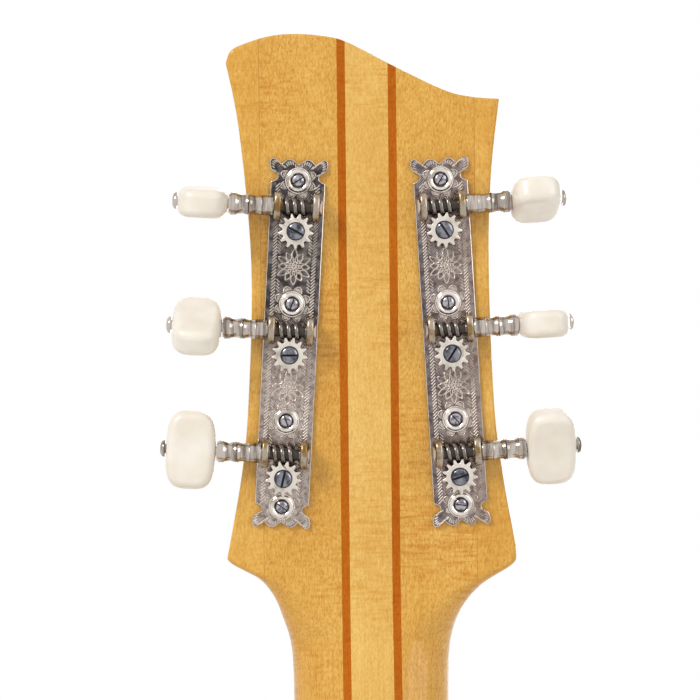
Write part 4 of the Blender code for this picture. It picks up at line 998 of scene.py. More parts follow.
# A crown in millimetres: its shoulder and horn out from the plate's edge, its bump from the plate's middle
CROWN_SHOULDER = ((0, 0), (-0.7, 0.25), (-1.7, 0.9), (-1.8, 2.0), (-1.0, 2.8))
CROWN_HORN = ((-1, 2.8), (0, 3.4), (0.55, 4.8), (0.5, 6), (-0.05, 6.7), (-0.95, 6.7), (-2, 5.8), (-2.8, 5.1))
CROWN_BUMP = ((4.0, 6.0), (3.2, 6.6), (2.0, 6.6), (0.8, 5.7), (0, 5.2))


def crown(half_width):
    """The right half of a crown at the end of a plate, from its shoulder by its horn to its middle."""
    half = half_width / MM
    shoulder = [(half + x, y) for x, y in CROWN_SHOULDER]
    horn = [(half + x, y) for x, y in CROWN_HORN]
    bump = (horn[-1], *CROWN_BUMP)
    points = [*smooth(shoulder, 3)[:-1], *smooth(horn, 3)[:-1], *smooth(bump, 3)]
    tallest = max(y for x, y in points)
    return [(x * MM, y / tallest * CROWN_HEIGHT) for x, y in points]


def plate_outline():
    right = crown(PLATE_WIDTH / 2)
    top = [(x, y + PLATE_ABOVE_GEAR) for x, y in right]
    bottom = [(x, PLATE_ABOVE_GEAR - PLATE_LENGTH - y) for x, y in right]
    side = [*bottom[::-1], *top]
    return [*side, *((-x, y) for x, y in side[-2:0:-1])]


# Where the plate's screws go, along it from the top gear, and the middle of each engraved flower
BOSSES = (14.4 * MM, -20.6 * MM, -TUNER_SPACING - 18.8 * MM, -2 * TUNER_SPACING - 8.3 * MM)
FLOWERS = (-10.0 * MM, -TUNER_SPACING - 9.2 * MM)
CUT_RADIUS = 0.17 * MM
TICK_PITCH = 0.9 * MM
TICK_LENGTH = 1.2 * MM
TICK_FROM_MIDDLE = 5.6 * MM
INNER_TICK_IN = 1.3 * MM
INNER_TICK_CLEAR = 5.6 * MM
EDGE_MARGIN = 1.1 * MM
# How far the cuts may run on into the crowns, and where those at the crowns' rims begin and end
INTO_LOWER_CROWN = 3 * MM
INTO_UPPER_CROWN = 4 * MM
CROWN_TICK = (0.7 * MM, 1.7 * MM)
# The crown's points from here on are those of its horn and its middle bump
HORN_START = 12
EAR_EDGE_ROUND = 0.55 * MM
# A boss's rim and hollow, as shares of its radius, or its screw's, and of its height
BOSS_RIM = ((1.04, 0.12), (0.97, 0.18), (0.95, 0.5), (0.9, 0.8), (0.82, 1), (0.73, 0.96), (0.64, 0.7))
BOSS_HOLLOW = ((1.12, 0.4), (1.1, 0.1))
# Slots of the plate screws: width and depth, how far each is turned from the last, and the bass side's lead
PLATE_SLOT_WIDTH = 0.32 * MM
PLATE_SLOT_DEPTH = 0.4 * MM
PLATE_SLOT_TURN = 37
BASS_SLOT_LEAD = 20


def ear_body():
    """An ear that carries a worm's shaft, lying flat, with its arch where the shaft goes through."""
    width = EAR_WIDTH / 2
    arch = []
    for step in range(17):
        angle = math.pi * step / 16
        arch.append((width * math.cos(angle), WORM_HEIGHT + EAR_TOP * math.sin(angle) ** 0.8))
    ear = slab("ear", [(width, 0), *arch, (-width, 0)], EAR_THICKNESS, EAR_EDGE_ROUND, 3, 50)
    return coated(ear, "ear")


def plate_body():
    """The strip plate with its six ears."""
    plate = rounded(slab("plate", plate_outline(), PLATE_THICKNESS), PLATE_BEVEL, 2, 50)
    coated(plate, "plate_treble")
    plate.data.materials.append(FINISH["boss"])
    # The bevel between the flat top and the upright sides is as bright as the bosses: polished, and partly a
    # painted highlight along the edges
    for face in plate.data.polygons:
        face.material_index = 1 if 0.1 < face.normal.z < 0.98 else 0
    ears = []
    for row in range(3):
        for side in (-1, 1):
            x = side * EAR_SPACING / 2 - EAR_THICKNESS / 2
            place = shift(x, WORM_TO_GEAR - row * TUNER_SPACING, PLATE_THICKNESS / 2)
            ears.append(settle(ear_body(), place @ EDGEWAYS))
    return joined("plate", [plate, *ears])


def boss():
    """A raised ring round a plate screw, with a ring of painted shade beside the screw's head."""
    top = PLATE_THICKNESS
    foot = shares(((1.04, -0.25),), BOSS_RADIUS, top, BOSS_HEIGHT)
    rim = shares(BOSS_RIM, BOSS_RADIUS, top, BOSS_HEIGHT)
    hollow = shares(BOSS_HOLLOW, PLATE_SCREW_RADIUS, top, BOSS_HEIGHT)
    ring = coated(spun("boss", [*foot, *rim, *hollow], 48), "boss")
    # A dark ring just wider than the screw's head: painted shade in the gap
    gap = shares(((1.12, -0.125), (1.12, 0.15)), PLATE_SCREW_RADIUS, top, BOSS_HEIGHT)
    return shaded(joined("boss", [ring, coated(spun("gap", gap), "dark")]), 50)


# The lower this is, the fuller a screw's dome
DOME_FULLNESS = 0.7
# The ring of painted shade round a screw's foot: how deep it goes, and how far it or the dark film on a
# worm's core stands out
GAP_DEPTH = 0.2 * MM
FILM = 0.02 * MM


def slotted_dome(name, radius, low, high, slot_width, slot_depth, finish, edge=0.45, gap=0.0):
    """A round-headed screw's head with its slot along X, and a ring of painted shade round its foot."""
    dome = [(1, 0), (1, edge)]
    for step in range(1, 8):
        angle = math.pi / 2 * step / 8
        dome.append((math.cos(angle) ** DOME_FULLNESS, edge + (1 - edge) * math.sin(angle)))
    head = spun(name, shares(dome, radius, low, high - low), 36)
    across = slot_width / 2
    cut(head, box("slot", (-2 * radius, -across, high - slot_depth), (2 * radius, across, 2 * high)))
    coated(head, finish)
    # The floor and lower walls of the slot are painted dark: painted shade
    head.data.materials.append(FINISH["dark"])
    for face in head.data.polygons:
        in_slot = abs(face.center.y) < slot_width * 0.51 and face.center.z < high - slot_depth * 0.4
        face.material_index = 1 if in_slot and face.center.xy.length < radius * 0.9 else 0
    # A dark ring round the foot, wider than the head: painted shade
    if gap:
        wide = radius + gap
        foot = spun("gap", ((wide, low - GAP_DEPTH), (wide, low + FILM)))
        head = joined(name, [head, coated(foot, "dark")])
    return shaded(head, 35)


def ring_points(radius, count, centre=(0, 0)):
    angles = [2 * math.pi * step / count for step in range(count)]
    return [(centre[0] + radius * math.cos(angle), centre[1] + radius * math.sin(angle)) for angle in angles]


# A flower's petals: where they start, where the long and the short ones end, and half their width
PETALS = 12
PETAL_START = 2.0 * MM
PETAL_TIPS = (4.5 * MM, 5.2 * MM)
PETAL_HALF = 0.74 * MM
BEAD_RADIUS = 0.4 * MM
BEAD_RINGS = ((0.95 * MM, 5), (1.75 * MM, 8))
# A lobe's arch, and how far its four rays lie from its middle, in millimetres from the screw
LOBES = 8
ARCH = ((3.8, -1.15), (4.5, -0.95), (5.05, -0.45), (5.2, 0), (5.05, 0.45), (4.5, 0.95), (3.8, 1.15))
RAYS = (-0.6, -0.2, 0.2, 0.6)


def turned_about(points, share):
    """Points turned about the origin by a share of a full turn."""
    around = Matrix.Rotation(2 * math.pi * share, 2)
    return [tuple(around @ Vector(point)) for point in points]


def flower_lines():
    """Pointed petals round a cluster of beads, as closed lines round the origin."""
    lines = []
    for petal in range(PETALS):
        tip = PETAL_TIPS[petal % 2]
        widest = ((PETAL_START + tip) * 0.45, PETAL_HALF)
        edge = smooth(((PETAL_START, 0), widest, (tip * 0.86, PETAL_HALF * 0.62), (tip, 0)), 3)
        lines.append(turned_about([*edge, *((x, -y) for x, y in edge[-2:0:-1])], petal / PETALS))
    beads = [(0, 0)]
    for radius, count in BEAD_RINGS:
        beads += ring_points(radius, count)
    lines.extend(ring_points(BEAD_RADIUS, 8, bead) for bead in beads)
    return lines


def lobe_lines():
    """Lobes round a screw's boss, each an arch over four short rays."""
    shapes = [ARCH, *(((3.9, y), (4.8 - abs(y) * 0.6, y * 0.9)) for y in RAYS)]
    lines = []
    for lobe in range(LOBES):
        lines.extend(turned_about(millimetres(shape), (lobe + 0.5) / LOBES) for shape in shapes)
    return lines


def tick_lines():
    """Slanted cuts in two rows along each edge of a plate, and short ones inwards from its crowns' rims."""
    low = PLATE_ABOVE_GEAR - PLATE_LENGTH
    top = PLATE_THICKNESS
    reach = TICK_LENGTH / 2
    ticks = []

    def tick(x, y, lean_x, lean_y):
        ticks.append([(x - lean_x, y - lean_y, top), (x + lean_x, y + lean_y, top)])

    for step in range(int(PLATE_LENGTH / TICK_PITCH)):
        along = low + (step + 0.5) * TICK_PITCH
        for side in (-1, 1):
            tick(side * TICK_FROM_MIDDLE, along, reach, reach)
            inner = side * (TICK_FROM_MIDDLE - INNER_TICK_IN)
            if all(math.hypot(inner, along - place) > INNER_TICK_CLEAR for place in (*FLOWERS, *BOSSES)):
                tick(inner, along, reach * 0.7, -reach * 0.7)
    for end, base in ((1, PLATE_ABOVE_GEAR), (-1, low)):
        for x, y in crown(PLATE_WIDTH / 2)[HORN_START::2]:
            for side in (-1, 1):
                rim = Vector((side * x, base + end * y, top))
                inwards = (Vector((0, base, top)) - rim).normalized()
                ticks.append([rim + inwards * depth for depth in CROWN_TICK])
    return ticks


def on_plate(shapes, places):
    """The shapes at each place along the plate, without those that would cross its edge."""
    inside = PLATE_WIDTH / 2 - EDGE_MARGIN
    lowest = PLATE_ABOVE_GEAR - PLATE_LENGTH - INTO_LOWER_CROWN
    highest = PLATE_ABOVE_GEAR + INTO_UPPER_CROWN
    lines = []
    for along in places:
        for shape in shapes:
            points = [(x, y + along, PLATE_THICKNESS) for x, y in shape]
            if all(abs(x) < inside and lowest < y < highest for x, y, z in points):
                lines.append(points)
    return lines


def engraving():
    """The bright cut lines of a plate: flowers, lobes round the screws, and slanted cuts along the edges."""
    pieces = [
        wires("flowers", on_plate(flower_lines(), FLOWERS), CUT_RADIUS, 4, closed=True),
        wires("lobes", on_plate(lobe_lines(), BOSSES), CUT_RADIUS, 4),
        wires("ticks", tick_lines(), CUT_RADIUS, 4),
    ]
    return finished(joined("engraving", pieces), "engraved", 60)


def make_plates():
    body = shaded(plate_body(), 35)
    ring = boss()
    head = slotted_dome(
        "plate_screw",
        PLATE_SCREW_RADIUS,
        PLATE_THICKNESS + BOSS_HEIGHT * 0.25,
        PLATE_THICKNESS + BOSS_HEIGHT * 1.45,
        PLATE_SLOT_WIDTH,
        PLATE_SLOT_DEPTH,
        "screw",
    )
    cuts = engraving()
    for name, place in PLATES.items():
        lead = BASS_SLOT_LEAD if name == "bass" else 0
        plate = duplicate(body, f"strip_plate_{name}", place)
        plate.data.materials[0] = FINISH[f"plate_{name}"]
        placed(plate, "guitar", "nickel", f"tuner_plate_{name}")
        placed(duplicate(cuts, f"engraving_{name}", place), "guitar", "nickel")
        for number, along in enumerate(BOSSES, 1):
            here = place @ shift(0, along, 0)
            placed(duplicate(ring, f"screw_boss_{name}_{number}", here), "guitar", "nickel")
            slot_turn = turn(PLATE_SLOT_TURN * number + lead, "Z")
            placed(duplicate(head, f"plate_screw_{name}_{number}", here @ slot_turn), "guitar", "nickel")
    for obj in (body, ring, head, cuts):
        bpy.data.objects.remove(obj, do_unlink=True)


# The turned stem, as shares of its radius and millimetres from where each stretch starts
STEM_BARREL = ((0.98, 0), (1, 0.15), (1, 2.9), (0.95, 3.0), (0.99, 3.2), (0.93, 3.9), (0.9, 4.9), (0.94, 5.9))
STEM_RING = ((1.02, -0.5), (1.04, -0.2), (0.96, 0), (1.04, 0.2), (0.99, 0.6), (0.92, 1.5), (0.93, 2.3))
STEM_RING_BELOW_COLLAR = 5.6 * MM
COLLAR_GROOVE = 0.3 * MM
COLLAR_END = ((1, -0.45), (0.88, -0.4), (0.88, 0))
KNURL_POINTS = 88
KNURL_DEPTH = 0.09 * MM
# The rivet's head, as shares of its radius and height
RIVET = ((1, 0), (1, 0.35), (0.9, 0.65), (0.6, 0.92), (0.2, 1))


def worm_thread():
    """The worm's ridge, a helix along Z round its core."""
    helix = WORM_RADIUS - RIDGE_RADIUS
    steps = 24
    half_steps = round(THREAD_TURNS * steps / 2)
    points = []
    for step in range(-half_steps, half_steps + 1):
        angle = 2 * math.pi * step / steps
        points.append((helix * math.cos(angle), helix * math.sin(angle), WORM_PITCH * step / steps))
    return coated(wires("thread", [points], RIDGE_RADIUS, 10), "worm")


def shaft_body():
    """The worm's shaft along +Z: journals, turned stem with its beads and knurled collar, and the rivet."""
    collar = STEM_START + STEM_LENGTH
    rivet = BUTTON_START + BUTTON_LENGTH + FIT
    stub = -EAR_OUTER - FIT
    profile = [
        *shares(((0.8, -1), (1, -0.7), (1, 0)), STUB_RADIUS, stub, STUB_LENGTH),
        (JOURNAL_RADIUS, stub),
        (JOURNAL_RADIUS, -EAR_INNER),
        (WORM_CORE_RADIUS, -EAR_INNER + FIT),
        (WORM_CORE_RADIUS, EAR_INNER - FIT),
        (JOURNAL_RADIUS, EAR_INNER),
        (JOURNAL_RADIUS, STEM_START),
        *shares(STEM_BARREL, STEM_RADIUS, STEM_START, MM),
        *shares(STEM_RING, STEM_RADIUS, collar - STEM_RING_BELOW_COLLAR, MM),
        (STEM_RADIUS, collar - COLLAR_LENGTH - COLLAR_GROOVE),
        *shares(((0.98, 0), (1, 0.2)), COLLAR_RADIUS, collar - COLLAR_LENGTH, MM),
        *shares(COLLAR_END, COLLAR_RADIUS, collar, MM),
        (TANG_RADIUS, collar),
        (TANG_RADIUS, rivet),
        *shares(RIVET, RIVET_RADIUS, rivet, RIVET_HEIGHT),
    ]
    stem = coated(spun("stem", profile, 48), "nickel")
    thread = worm_thread()
    # A dark film on the core between the threads: old grease, and partly painted shade in the grooves
    core_radius = WORM_CORE_RADIUS + FILM
    core = coated(spun("core", ((core_radius, FIT - EAR_INNER), (core_radius, EAR_INNER - FIT))), "grease_and_shade")
    # The knurl of the collar: fine ridges along it
    outer = ring_points(COLLAR_RADIUS, KNURL_POINTS)
    inner = ring_points(COLLAR_RADIUS - KNURL_DEPTH, KNURL_POINTS)
    rim = [point for pair in zip(outer[::2], inner[1::2]) for point in pair]
    knurl = slab("knurl", rim, COLLAR_LENGTH * 0.72)
    coated(settle(knurl, shift(0, 0, collar - COLLAR_LENGTH * 0.95)), "nickel")
    return shaded(joined("shaft", [stem, thread, core, knurl]), 40)


def button_body():
    """A rounded flat button along +Z from its collar, broad along X."""
    outline = []
    for x, y in ring_points(1, 72):
        across = math.copysign(abs(x) ** BUTTON_SQUARENESS, x)
        along = math.copysign(abs(y) ** BUTTON_SQUARENESS, y)
        outline.append((across * BUTTON_BREADTH / 2, (along + 1) * BUTTON_LENGTH / 2))
    obj = slab("button", outline, BUTTON_THICKNESS)
    rounded(obj, BUTTON_EDGE_ROUND, 5, 50)
    settle(obj, shift(0, BUTTON_THICKNESS / 2, 0) @ STAND)
    return finished(obj, "ivoroid", 60, weighted=True)


# A post's waist: its length, how far along it the hole lies, and the straight edge in front of it
POST_WAIST_LENGTH = 6.4 * MM
HOLE_IN_WAIST = 3 * MM
WAIST_EDGE = 0.2 * MM
# A bushing, in millimetres out from its post and from the head's front towards its back
BUSHING = ((2.2, 0.2), (2.2, -0.5), (1.8, -0.9), (0.5, -1.2), (0.15, -1.1))
# Turns of the three thin strings and of the three thick ones, and their pitch in radii of the wire
WINDINGS = (4.0, 2.5)
WINDING_PITCH = 2.2
WINDING_GAP = 0.15 * MM
THINNEST_DRAWN = 0.2 * MM
SCREW_GAP = 0.26 * MM
TOOTH_ROUND = 0.14 * MM


def string_finish(number):
    """The two thin strings are plain steel; the others are wound."""
    return "steel" if number < 3 else "bronze"


def post_body():
    """A string post along +Z: its domed end in front of the head, and its waist with the string's hole."""
    front = FRONT_FACE - POST_ABOVE_HEAD
    start = STRING_HOLE - HOLE_IN_WAIST
    profile = shares(((0.55, 0), (0.85, 0.15), (1, 0.6)), POST_RADIUS, front, MM)
    profile.append((POST_RADIUS, start - WAIST_EDGE))
    for step in range(9):
        share = step / 8
        dip = (POST_RADIUS - POST_WAIST_RADIUS) * math.sin(math.pi * share)
        profile.append((POST_RADIUS - dip, start + POST_WAIST_LENGTH * share))
    profile.append((POST_RADIUS, GEAR_BOTTOM - FIT))
    post = spun("post", profile, 32)
    drill = spun("drill", ((STRING_HOLE_RADIUS, -3 * POST_RADIUS), (STRING_HOLE_RADIUS, 3 * POST_RADIUS)), 20)
    cut(post, settle(drill, shift(0, 0, STRING_HOLE) @ turn(90, "Y")))
    return finished(post, "nickel", 40)


def bushing():
    """The pressed ring round a post on the front of the head."""
    profile = [(POST_RADIUS + out * MM, FRONT_FACE + along * MM) for out, along in BUSHING]
    return finished(spun("bushing", profile, 36), "chrome")


def winding(number, side):
    """The string's turns round its post, in the post's frame."""
    radius = max(STRING_RADII[number - 1], THINNEST_DRAWN)
    near = POST_WAIST_RADIUS + radius + WINDING_GAP
    steps = 20
    points = []
    for step in range(int(WINDINGS[number > 3] * steps) + 1):
        angle = 2 * math.pi * step / steps
        along = STRING_HOLE + WINDING_PITCH * radius * step / steps
        points.append((near * math.cos(angle), side * near * math.sin(angle), along))
    return finished(wires("winding", [points], radius, 8), string_finish(number), 60)


def make_tuners():
    shaft = shaft_body()
    button = button_body()
    post = post_body()
    ring = bushing()
    gear_top = GEAR_BOTTOM + GEAR_THICKNESS + GLUE
    screw = slotted_dome(
        "gear_screw",
        GEAR_SCREW_RADIUS,
        gear_top,
        gear_top + GEAR_SCREW_HEAD,
        SLOT_WIDTH,
        SLOT_DEPTH,
        "blued",
        edge=0.55,
        gap=SCREW_GAP,
    )
    for number, side, tuner in tuner_places():
        key = f"key_{number}"
        post_key = f"post_{number}"
        worm = tuner @ shift(0, WORM_TO_GEAR, WORM_HEIGHT)
        stem = duplicate(shaft, f"worm_and_stem_{number}", worm @ turn(90 * side, "Y") @ turn(-90, "Z"))
        placed(stem, key, "nickel", f"worm_shaft_{number}")
        outwards_turn = turn(90, "Z") @ turn(90 * side, "X") @ turn(BUTTON_TURN[number], "Z")
        knob = duplicate(button, f"tuner_button_{number}", worm @ outwards_turn @ shift(0, 0, BUTTON_START))
        placed(knob, key, "ivoroid", f"button_{number}")
        gear = (f"gear_{number}", f"toothed_gear_{number}", post_key, "gear_nickel", "gear")
        refined(*gear, bevel=TOOTH_ROUND, angle=40)
        dome = duplicate(screw, f"gear_screw_head_{number}", tuner @ turn(SLOT_TURN[number], "Z"))
        placed(dome, post_key, "blued_steel", f"gear_screw_{number}")
        pin = duplicate(post, f"post_{number}_turned", tuner @ turn(90, "Z"))
        placed(pin, post_key, "nickel", f"string_post_{number}")
        coil = settle(winding(number, side), tuner)
        coil.name = f"string_winding_{number}"
        placed(coil, post_key, string_finish(number))
        placed(duplicate(ring, f"post_bushing_{number}", tuner), "guitar", "nickel")
    for obj in (shaft, button, post, ring, screw):
        bpy.data.objects.remove(obj, do_unlink=True)


make_plates()
make_tuners()

# Body


def body_half(steps=22):
    """One side of the body's outline in X and Z, from the middle of its top to the middle of its tail.

    The curve's handles are shares of the bouts' widths and of their distances from the top.
    """
    bout = UPPER_BOUT / 2
    waist = WAIST / 2
    lower = LOWER_BOUT / 2
    corners = (
        ((0, 0), (UPPER_BOUT * 0.37, 0)),
        ((bout, UPPER_BOUT_AT * -0.42), (bout, -UPPER_BOUT_AT), (bout, -UPPER_BOUT_AT * 1.36)),
        ((waist, -WAIST_AT * 0.8), (waist, -WAIST_AT), (waist, -WAIST_AT * 1.22)),
        ((lower, -LOWER_BOUT_AT * 0.78), (lower, -LOWER_BOUT_AT), (lower, -LOWER_BOUT_AT * 1.21)),
        ((LOWER_BOUT * 0.3, -BODY_LENGTH), (0, -BODY_LENGTH)),
    )
    knot, handle = corners[0]
    points = []
    for arrive, after, *leave in corners[1:]:
        segment = interpolate_bezier(*(Vector((*p, 0)) for p in (knot, handle, arrive, after)), steps)
        points.extend((point.x, point.y) for point in segment[:-1])
        knot = after
        handle = leave[0] if leave else after
    return [*points, knot]


def body_outline():
    half = body_half()
    return [*half, *((-x, z) for x, z in half[-2:0:-1])]


def carved_plate(name, finish):
    """An arched plate, its rim at z = 0 in the outline's plane and its middle raised, bound at its edge."""
    outline = body_outline()
    rim = PLATE_WOOD - GLUE
    obj = slab(name, outline, rim)
    only(obj)
    bpy.ops.object.mode_set(mode="EDIT")
    bpy.ops.mesh.select_all(action="DESELECT")
    bpy.ops.object.mode_set(mode="OBJECT")
    top = max(obj.data.polygons, key=lambda face: face.center.z * (len(face.vertices) > 4))
    top.select = True
    bpy.ops.object.mode_set(mode="EDIT")
    steps = [(BINDING_WIDTH, 0), (RIM_FLAT - BINDING_WIDTH, 0)]
    runs = 8
    for step in range(runs):
        rise = eased((step + 1) / runs) - eased(step / runs)
        steps.append((ARCH_RUN / runs, rise * ARCH_HEIGHT))
    for inset, rise in steps:
        bpy.ops.mesh.inset(thickness=inset, depth=0)
        bpy.ops.transform.translate(value=(0, 0, rise))
    bpy.ops.object.mode_set(mode="OBJECT")
    obj.data.materials.append(FINISH[finish])
    obj.data.materials.append(FINISH["binding"])
    on_edge = {(round(x, 6), round(y, 6)) for x, y in outline}
    for face in obj.data.polygons:
        corners = [obj.data.vertices[i].co for i in face.vertices]
        touching = sum((round(c.x, 6), round(c.y, 6)) in on_edge for c in corners)
        if len(face.vertices) == 4 and touching >= 2 and face.center.z > rim * 0.3:
            face.material_index = 1
    return obj


# The bass side f-hole, in millimetres from the body's frame: its two eyes and the line of its stem
UPPER_EYE = (64, -238)
LOWER_EYE = (104, -336)
STEM_LINE = (
    (64, -234),
    (68, -227),
    (76, -226),
    (82, -236),
    (84, -255),
    (84, -287),
    (84, -318),
    (87, -338),
    (93, -347),
    (101, -346),
    (104, -339),
)
# The stem's width at each of those points, as a share of its greatest
STEM_SHARE = (0.3, 0.4, 0.6, 0.85, 1, 1, 1, 0.85, 0.6, 0.4, 0.3)
CUT_DEPTH = 100 * MM


def f_hole_cutters(side):
    """The tools that cut one f-hole: its two eyes and the curved stem between them."""
    cutters = []
    for x, z in millimetres((UPPER_EYE, LOWER_EYE)):
        eye = spun("eye", ((EYE_RADIUS, -CUT_DEPTH), (EYE_RADIUS, CUT_DEPTH)), 40)
        cutters.append(settle(eye, shift(side * x, z, 0)))
    line = smooth([(side * x * MM, z * MM, share) for (x, z), share in zip(STEM_LINE, STEM_SHARE)], 4)
    left = []
    right = []
    for i, (x, z, share) in enumerate(line):
        before = Vector(line[max(i - 1, 0)][:2])
        after = Vector(line[min(i + 1, len(line) - 1)][:2])
        across = (after - before).normalized().orthogonal() * STEM_WIDTH * share / 2
        left.append((x + across.x, z + across.y))
        right.append((x - across.x, z - across.y))
    stem = slab("stem_cut", [*left, *right[::-1]], 2 * CUT_DEPTH)
    cutters.append(settle(stem, shift(0, 0, -CUT_DEPTH)))
    return cutters


# A plate lies in X and Y with its arch along Z; these stand it up, facing forwards or backwards
FORWARDS = Matrix(((1, 0, 0, 0), (0, 0, 1, 0), (0, 1, 0, 0), (0, 0, 0, 1)))
BACKWARDS = Matrix(((1, 0, 0, 0), (0, 0, -1, 0), (0, 1, 0, 0), (0, 0, 0, 1)))


def make_top():
    top = cut(carved_plate("carved_top", "spruce"), *f_hole_cutters(-1), *f_hole_cutters(1))
    settle(top, BODY @ shift(0, GLUE, 0) @ FORWARDS)
    placed(shaded(top, 35), "guitar", "spruce", "top_plate")


def make_back():
    back = carved_plate("carved_back", "maple_flamed")
    settle(back, BODY @ shift(0, -RIB_DEPTH - GLUE, 0) @ BACKWARDS)
    placed(shaded(back, 35), "guitar", "maple", "back_plate")


def make_ribs():
    ribs = slab("ribs", body_outline(), RIB_DEPTH, fill="NOTHING")
    applied(ribs, "SOLIDIFY", thickness=RIB_THICKNESS, offset=-1, use_even_offset=True)
    finished(settle(ribs, BODY @ STAND), "maple_flamed")
    placed(ribs, "guitar", "maple", "rib_treble", "rib_bass")


DOTTED_FRETS = (3, 5, 7, 9, 12, 15, 17, 19)
DOT_RADIUS = 3.2 * MM
DOT_SPREAD = 10 * MM
DOT_DEPTH = 0.3 * MM
DOT_PROUD = 0.06 * MM
BOARD_EDGE_ROUND = 0.2 * MM
BOARD_BINDING = 1.5 * MM
BINDING_EDGE_ROUND = 0.3 * MM
FRET_FOOT = 0.5 * MM


def dots():
    """The pearl dots, each between a dotted fret and the fret before it, with two at the twelfth."""
    made = []
    for number in DOTTED_FRETS:
        middle = (fret_distance(number) + fret_distance(number - 1)) / 2
        for x in (-DOT_SPREAD, DOT_SPREAD) if number == 12 else (0,):
            dot = spun("dot", ((DOT_RADIUS, -DOT_DEPTH), (DOT_RADIUS, DOT_PROUD)), 32)
            settle(dot, shift(x, BOARD_THICKNESS, BOARD_TOP_Z - middle) @ turn(-90, "X"))
            made.append(coated(dot, "pearl"))
    return made


def make_fingerboard():
    """The bound ebony board with its position dots."""
    top = board_half_width(0)
    bottom = board_half_width(BOARD_LENGTH)
    edge = BOARD_BINDING
    tail = edge - BOARD_LENGTH
    place = shift(0, BOARD_THICKNESS, BOARD_TOP_Z) @ STAND
    inlaid = [(edge - top, 0), (top - edge, 0), (bottom - edge, tail), (edge - bottom, tail)]
    board = slab("board", inlaid, BOARD_THICKNESS - GLUE, BOARD_EDGE_ROUND)
    bound = [(-top, 0), (top, 0), (bottom, -BOARD_LENGTH), (-bottom, -BOARD_LENGTH)]
    binding = slab("binding", bound, BOARD_THICKNESS - 2 * GLUE, BINDING_EDGE_ROUND)
    settle(binding, shift(0, -GLUE, 0) @ place)
    pieces = [coated(settle(board, place), "ebony"), coated(binding, "binding"), *dots()]
    placed(shaded(joined("bound_fingerboard", pieces), 35), "guitar", "ebony", "fingerboard")


def make_frets():
    """Round-topped wires across the board, each as long as the board is wide there."""
    bow = []
    for step in range(11):
        angle = math.pi * step / 10
        bow.append((FRET_WIDTH / 2 * math.cos(angle), FRET_HEIGHT * math.sin(angle)))
    bow += [(-FRET_WIDTH / 2, -FRET_FOOT), (FRET_WIDTH / 2, -FRET_FOOT)]
    for number in range(1, FRETS + 1):
        below = fret_distance(number)
        half = board_half_width(below) - FIT
        fret = slab(f"fret_{number}", bow, 2 * half)
        settle(fret, shift(half, BOARD_THICKNESS, BOARD_TOP_Z - below) @ turn(-90, "Y"))
        placed(finished(fret, "chrome", 40), "guitar", "nickel")


# The end pin's head, as shares of the pin's radius and millimetres from where it begins
END_PIN = (
    (1.85, 0),
    (1.9, -1),
    (1.5, -3),
    (1.2, -5.5),
    (1.3, -8),
    (1.8, -10.5),
    (2.1, -12),
    (2.0, -13.5),
    (1.4, -15),
)


# Each fitting: its solid, name, body, slot and finish, the rounding of its edges in millimetres and in steps
FITTINGS = (
    ("nut", "bone_nut", "guitar", "bone", "bone", 0.25, 2),
    ("bridge_base", "bridge_foot", "guitar", "ebony", "ebony", 0.6, 2),
    ("bridge_saddle", "bridge_top", "saddle", "ebony", "ebony", 0.5, 2),
    ("thumbwheel_treble", "height_wheel_treble", "wheel_treble", "nickel", "chrome", 0.15, 1),
    ("thumbwheel_bass", "height_wheel_bass", "wheel_bass", "nickel", "chrome", 0.15, 1),
    ("tailpiece", "trapeze_tailpiece", "guitar", "nickel", "chrome", 0.5, 2),
    ("pickguard", "finger_rest", "guitar", "tortoise", "tortoise", 0.6, 2),
    ("pickguard_bracket", "finger_rest_bracket", "guitar", "nickel", "chrome", 0.25, 2),
)


def make_fittings():
    """Finer copies of the nut, bridge, wheels, tailpiece, pickguard and strings."""
    for node, name, body, slot, finish, edge, steps in FITTINGS:
        refined(node, name, body, slot, finish, edge * MM, steps)
    for number in range(1, 7):
        finish = string_finish(number)
        refined(f"string_{number}", f"string_wire_{number}", "guitar", finish, finish)
    recoat("maple", "neck_block", "end_block")


def make_end_pin():
    head = -BODY_LENGTH - TAILPIECE_THICKNESS - 2 * FIT
    shank = [(END_PIN_RADIUS, -BODY_LENGTH + END_BLOCK_LENGTH), (END_PIN_RADIUS, head)]
    pin = spun("strap_pin", [*shank, *shares(END_PIN, END_PIN_RADIUS, head, MM)], 40)
    settle(pin, BODY @ shift(0, -RIB_DEPTH / 2, 0))
    placed(finished(pin, "ivoroid", 40), "guitar", "ivoroid", "end_pin")


make_top()
make_back()
make_ribs()
make_fingerboard()
make_frets()
make_fittings()
make_end_pin()

# Stage and light

FLOOR_SIZE = 12
FLOOR_GAP = 0.5 * MM
# The floor turns into the white background between these distances from the guitar
FLOOR_FADE = (0.5, 1.6)
ROOM_STRENGTH = 0.5
# Each lamp's name, place, size and power, aimed at the middle of the neck
LAMPS = (
    ("key", (-1.4, -1.6, 1.2), 0.7, 32),
    ("fill", (1.6, -1.4, 0.5), 1.4, 11),
    ("front", (0.8, 2.0, 0.8), 1.6, 26),
)
LAMP_AIM = (0, 0, -0.2)


def greatest(tree, *values):
    """The largest of several sockets."""
    seen = values[0]
    for value in values[1:]:
        seen = add(tree, "Math", {"operation": "MAXIMUM"}, {0: seen, 1: value}).outputs["Value"]
    return seen


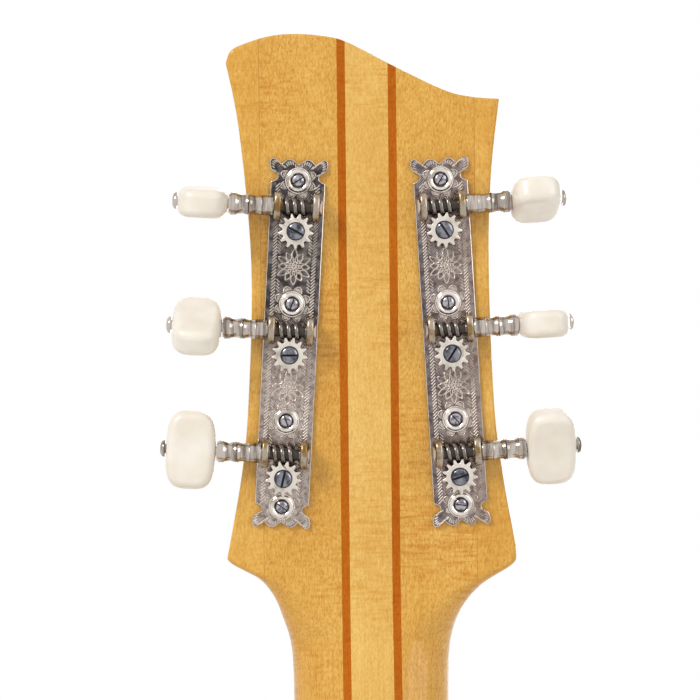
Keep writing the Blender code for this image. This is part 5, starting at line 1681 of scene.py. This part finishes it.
def make_stage():
    bpy.ops.mesh.primitive_plane_add(size=FLOOR_SIZE, location=(0, 0, cad_box[0].z - FLOOR_GAP))
    floor = bpy.context.object
    floor.name = "floor"
    made, tree, shader = new_material("floor_matt_white", "#F4F4F2", 0.9)
    ray = add(tree, "LightPath").outputs
    white = add(tree, "Emission", inputs={"Color": linear("#FFFFFF"), "Strength": 1.0})
    # The floor keeps its shadow near the guitar and meets the white background further out
    place = add(tree, "TexCoord").outputs["Object"]
    away = add(tree, "VectorMath", {"operation": "LENGTH"}, {0: place}).outputs["Value"]
    inputs = {"Value": away, "From Min": FLOOR_FADE[0], "From Max": FLOOR_FADE[1]}
    far = add(tree, "MapRange", {"interpolation_type": "SMOOTHSTEP"}, inputs).outputs["Result"]
    far = add(tree, "Math", {"operation": "MULTIPLY"}, {0: far, 1: ray["Is Camera Ray"]}).outputs["Value"]
    seen = greatest(tree, ray["Is Glossy Ray"], ray["Is Transmission Ray"], far)
    mix = add(tree, "MixShader", inputs={0: seen, 1: shader.outputs[0], 2: white.outputs[0]})
    tree.links.new(mix.outputs[0], tree.nodes["Material Output"].inputs["Surface"])
    floor.data.materials.append(made)


def make_light():
    world = bpy.data.worlds.new("studio")
    bpy.context.scene.world = world
    world.use_nodes = True
    tree = world.node_tree
    tree.nodes.clear()
    ray = add(tree, "LightPath").outputs
    seen = greatest(tree, ray["Is Camera Ray"], ray["Is Glossy Ray"], ray["Is Transmission Ray"])
    soft = add(tree, "Background", inputs={"Color": linear("#FFFFFF"), "Strength": ROOM_STRENGTH})
    white = add(tree, "Background", inputs={"Color": linear("#FFFFFF"), "Strength": 1.0})
    mix = add(tree, "MixShader", inputs={0: seen, 1: soft.outputs[0], 2: white.outputs[0]})
    output = add(tree, "OutputWorld")
    tree.links.new(mix.outputs[0], output.inputs["Surface"])
    for name, place, size, power in LAMPS:
        lamp = bpy.data.lights.new(name, "AREA")
        lamp.energy = power
        lamp.size = size
        obj = bpy.data.objects.new(name, lamp)
        bpy.context.scene.collection.objects.link(obj)
        obj.location = place
        obj.rotation_euler = (Vector(LAMP_AIM) - Vector(place)).to_track_quat("-Z", "Y").to_euler()


make_stage()
make_light()
bpy.context.scene.view_settings.view_transform = "Standard"
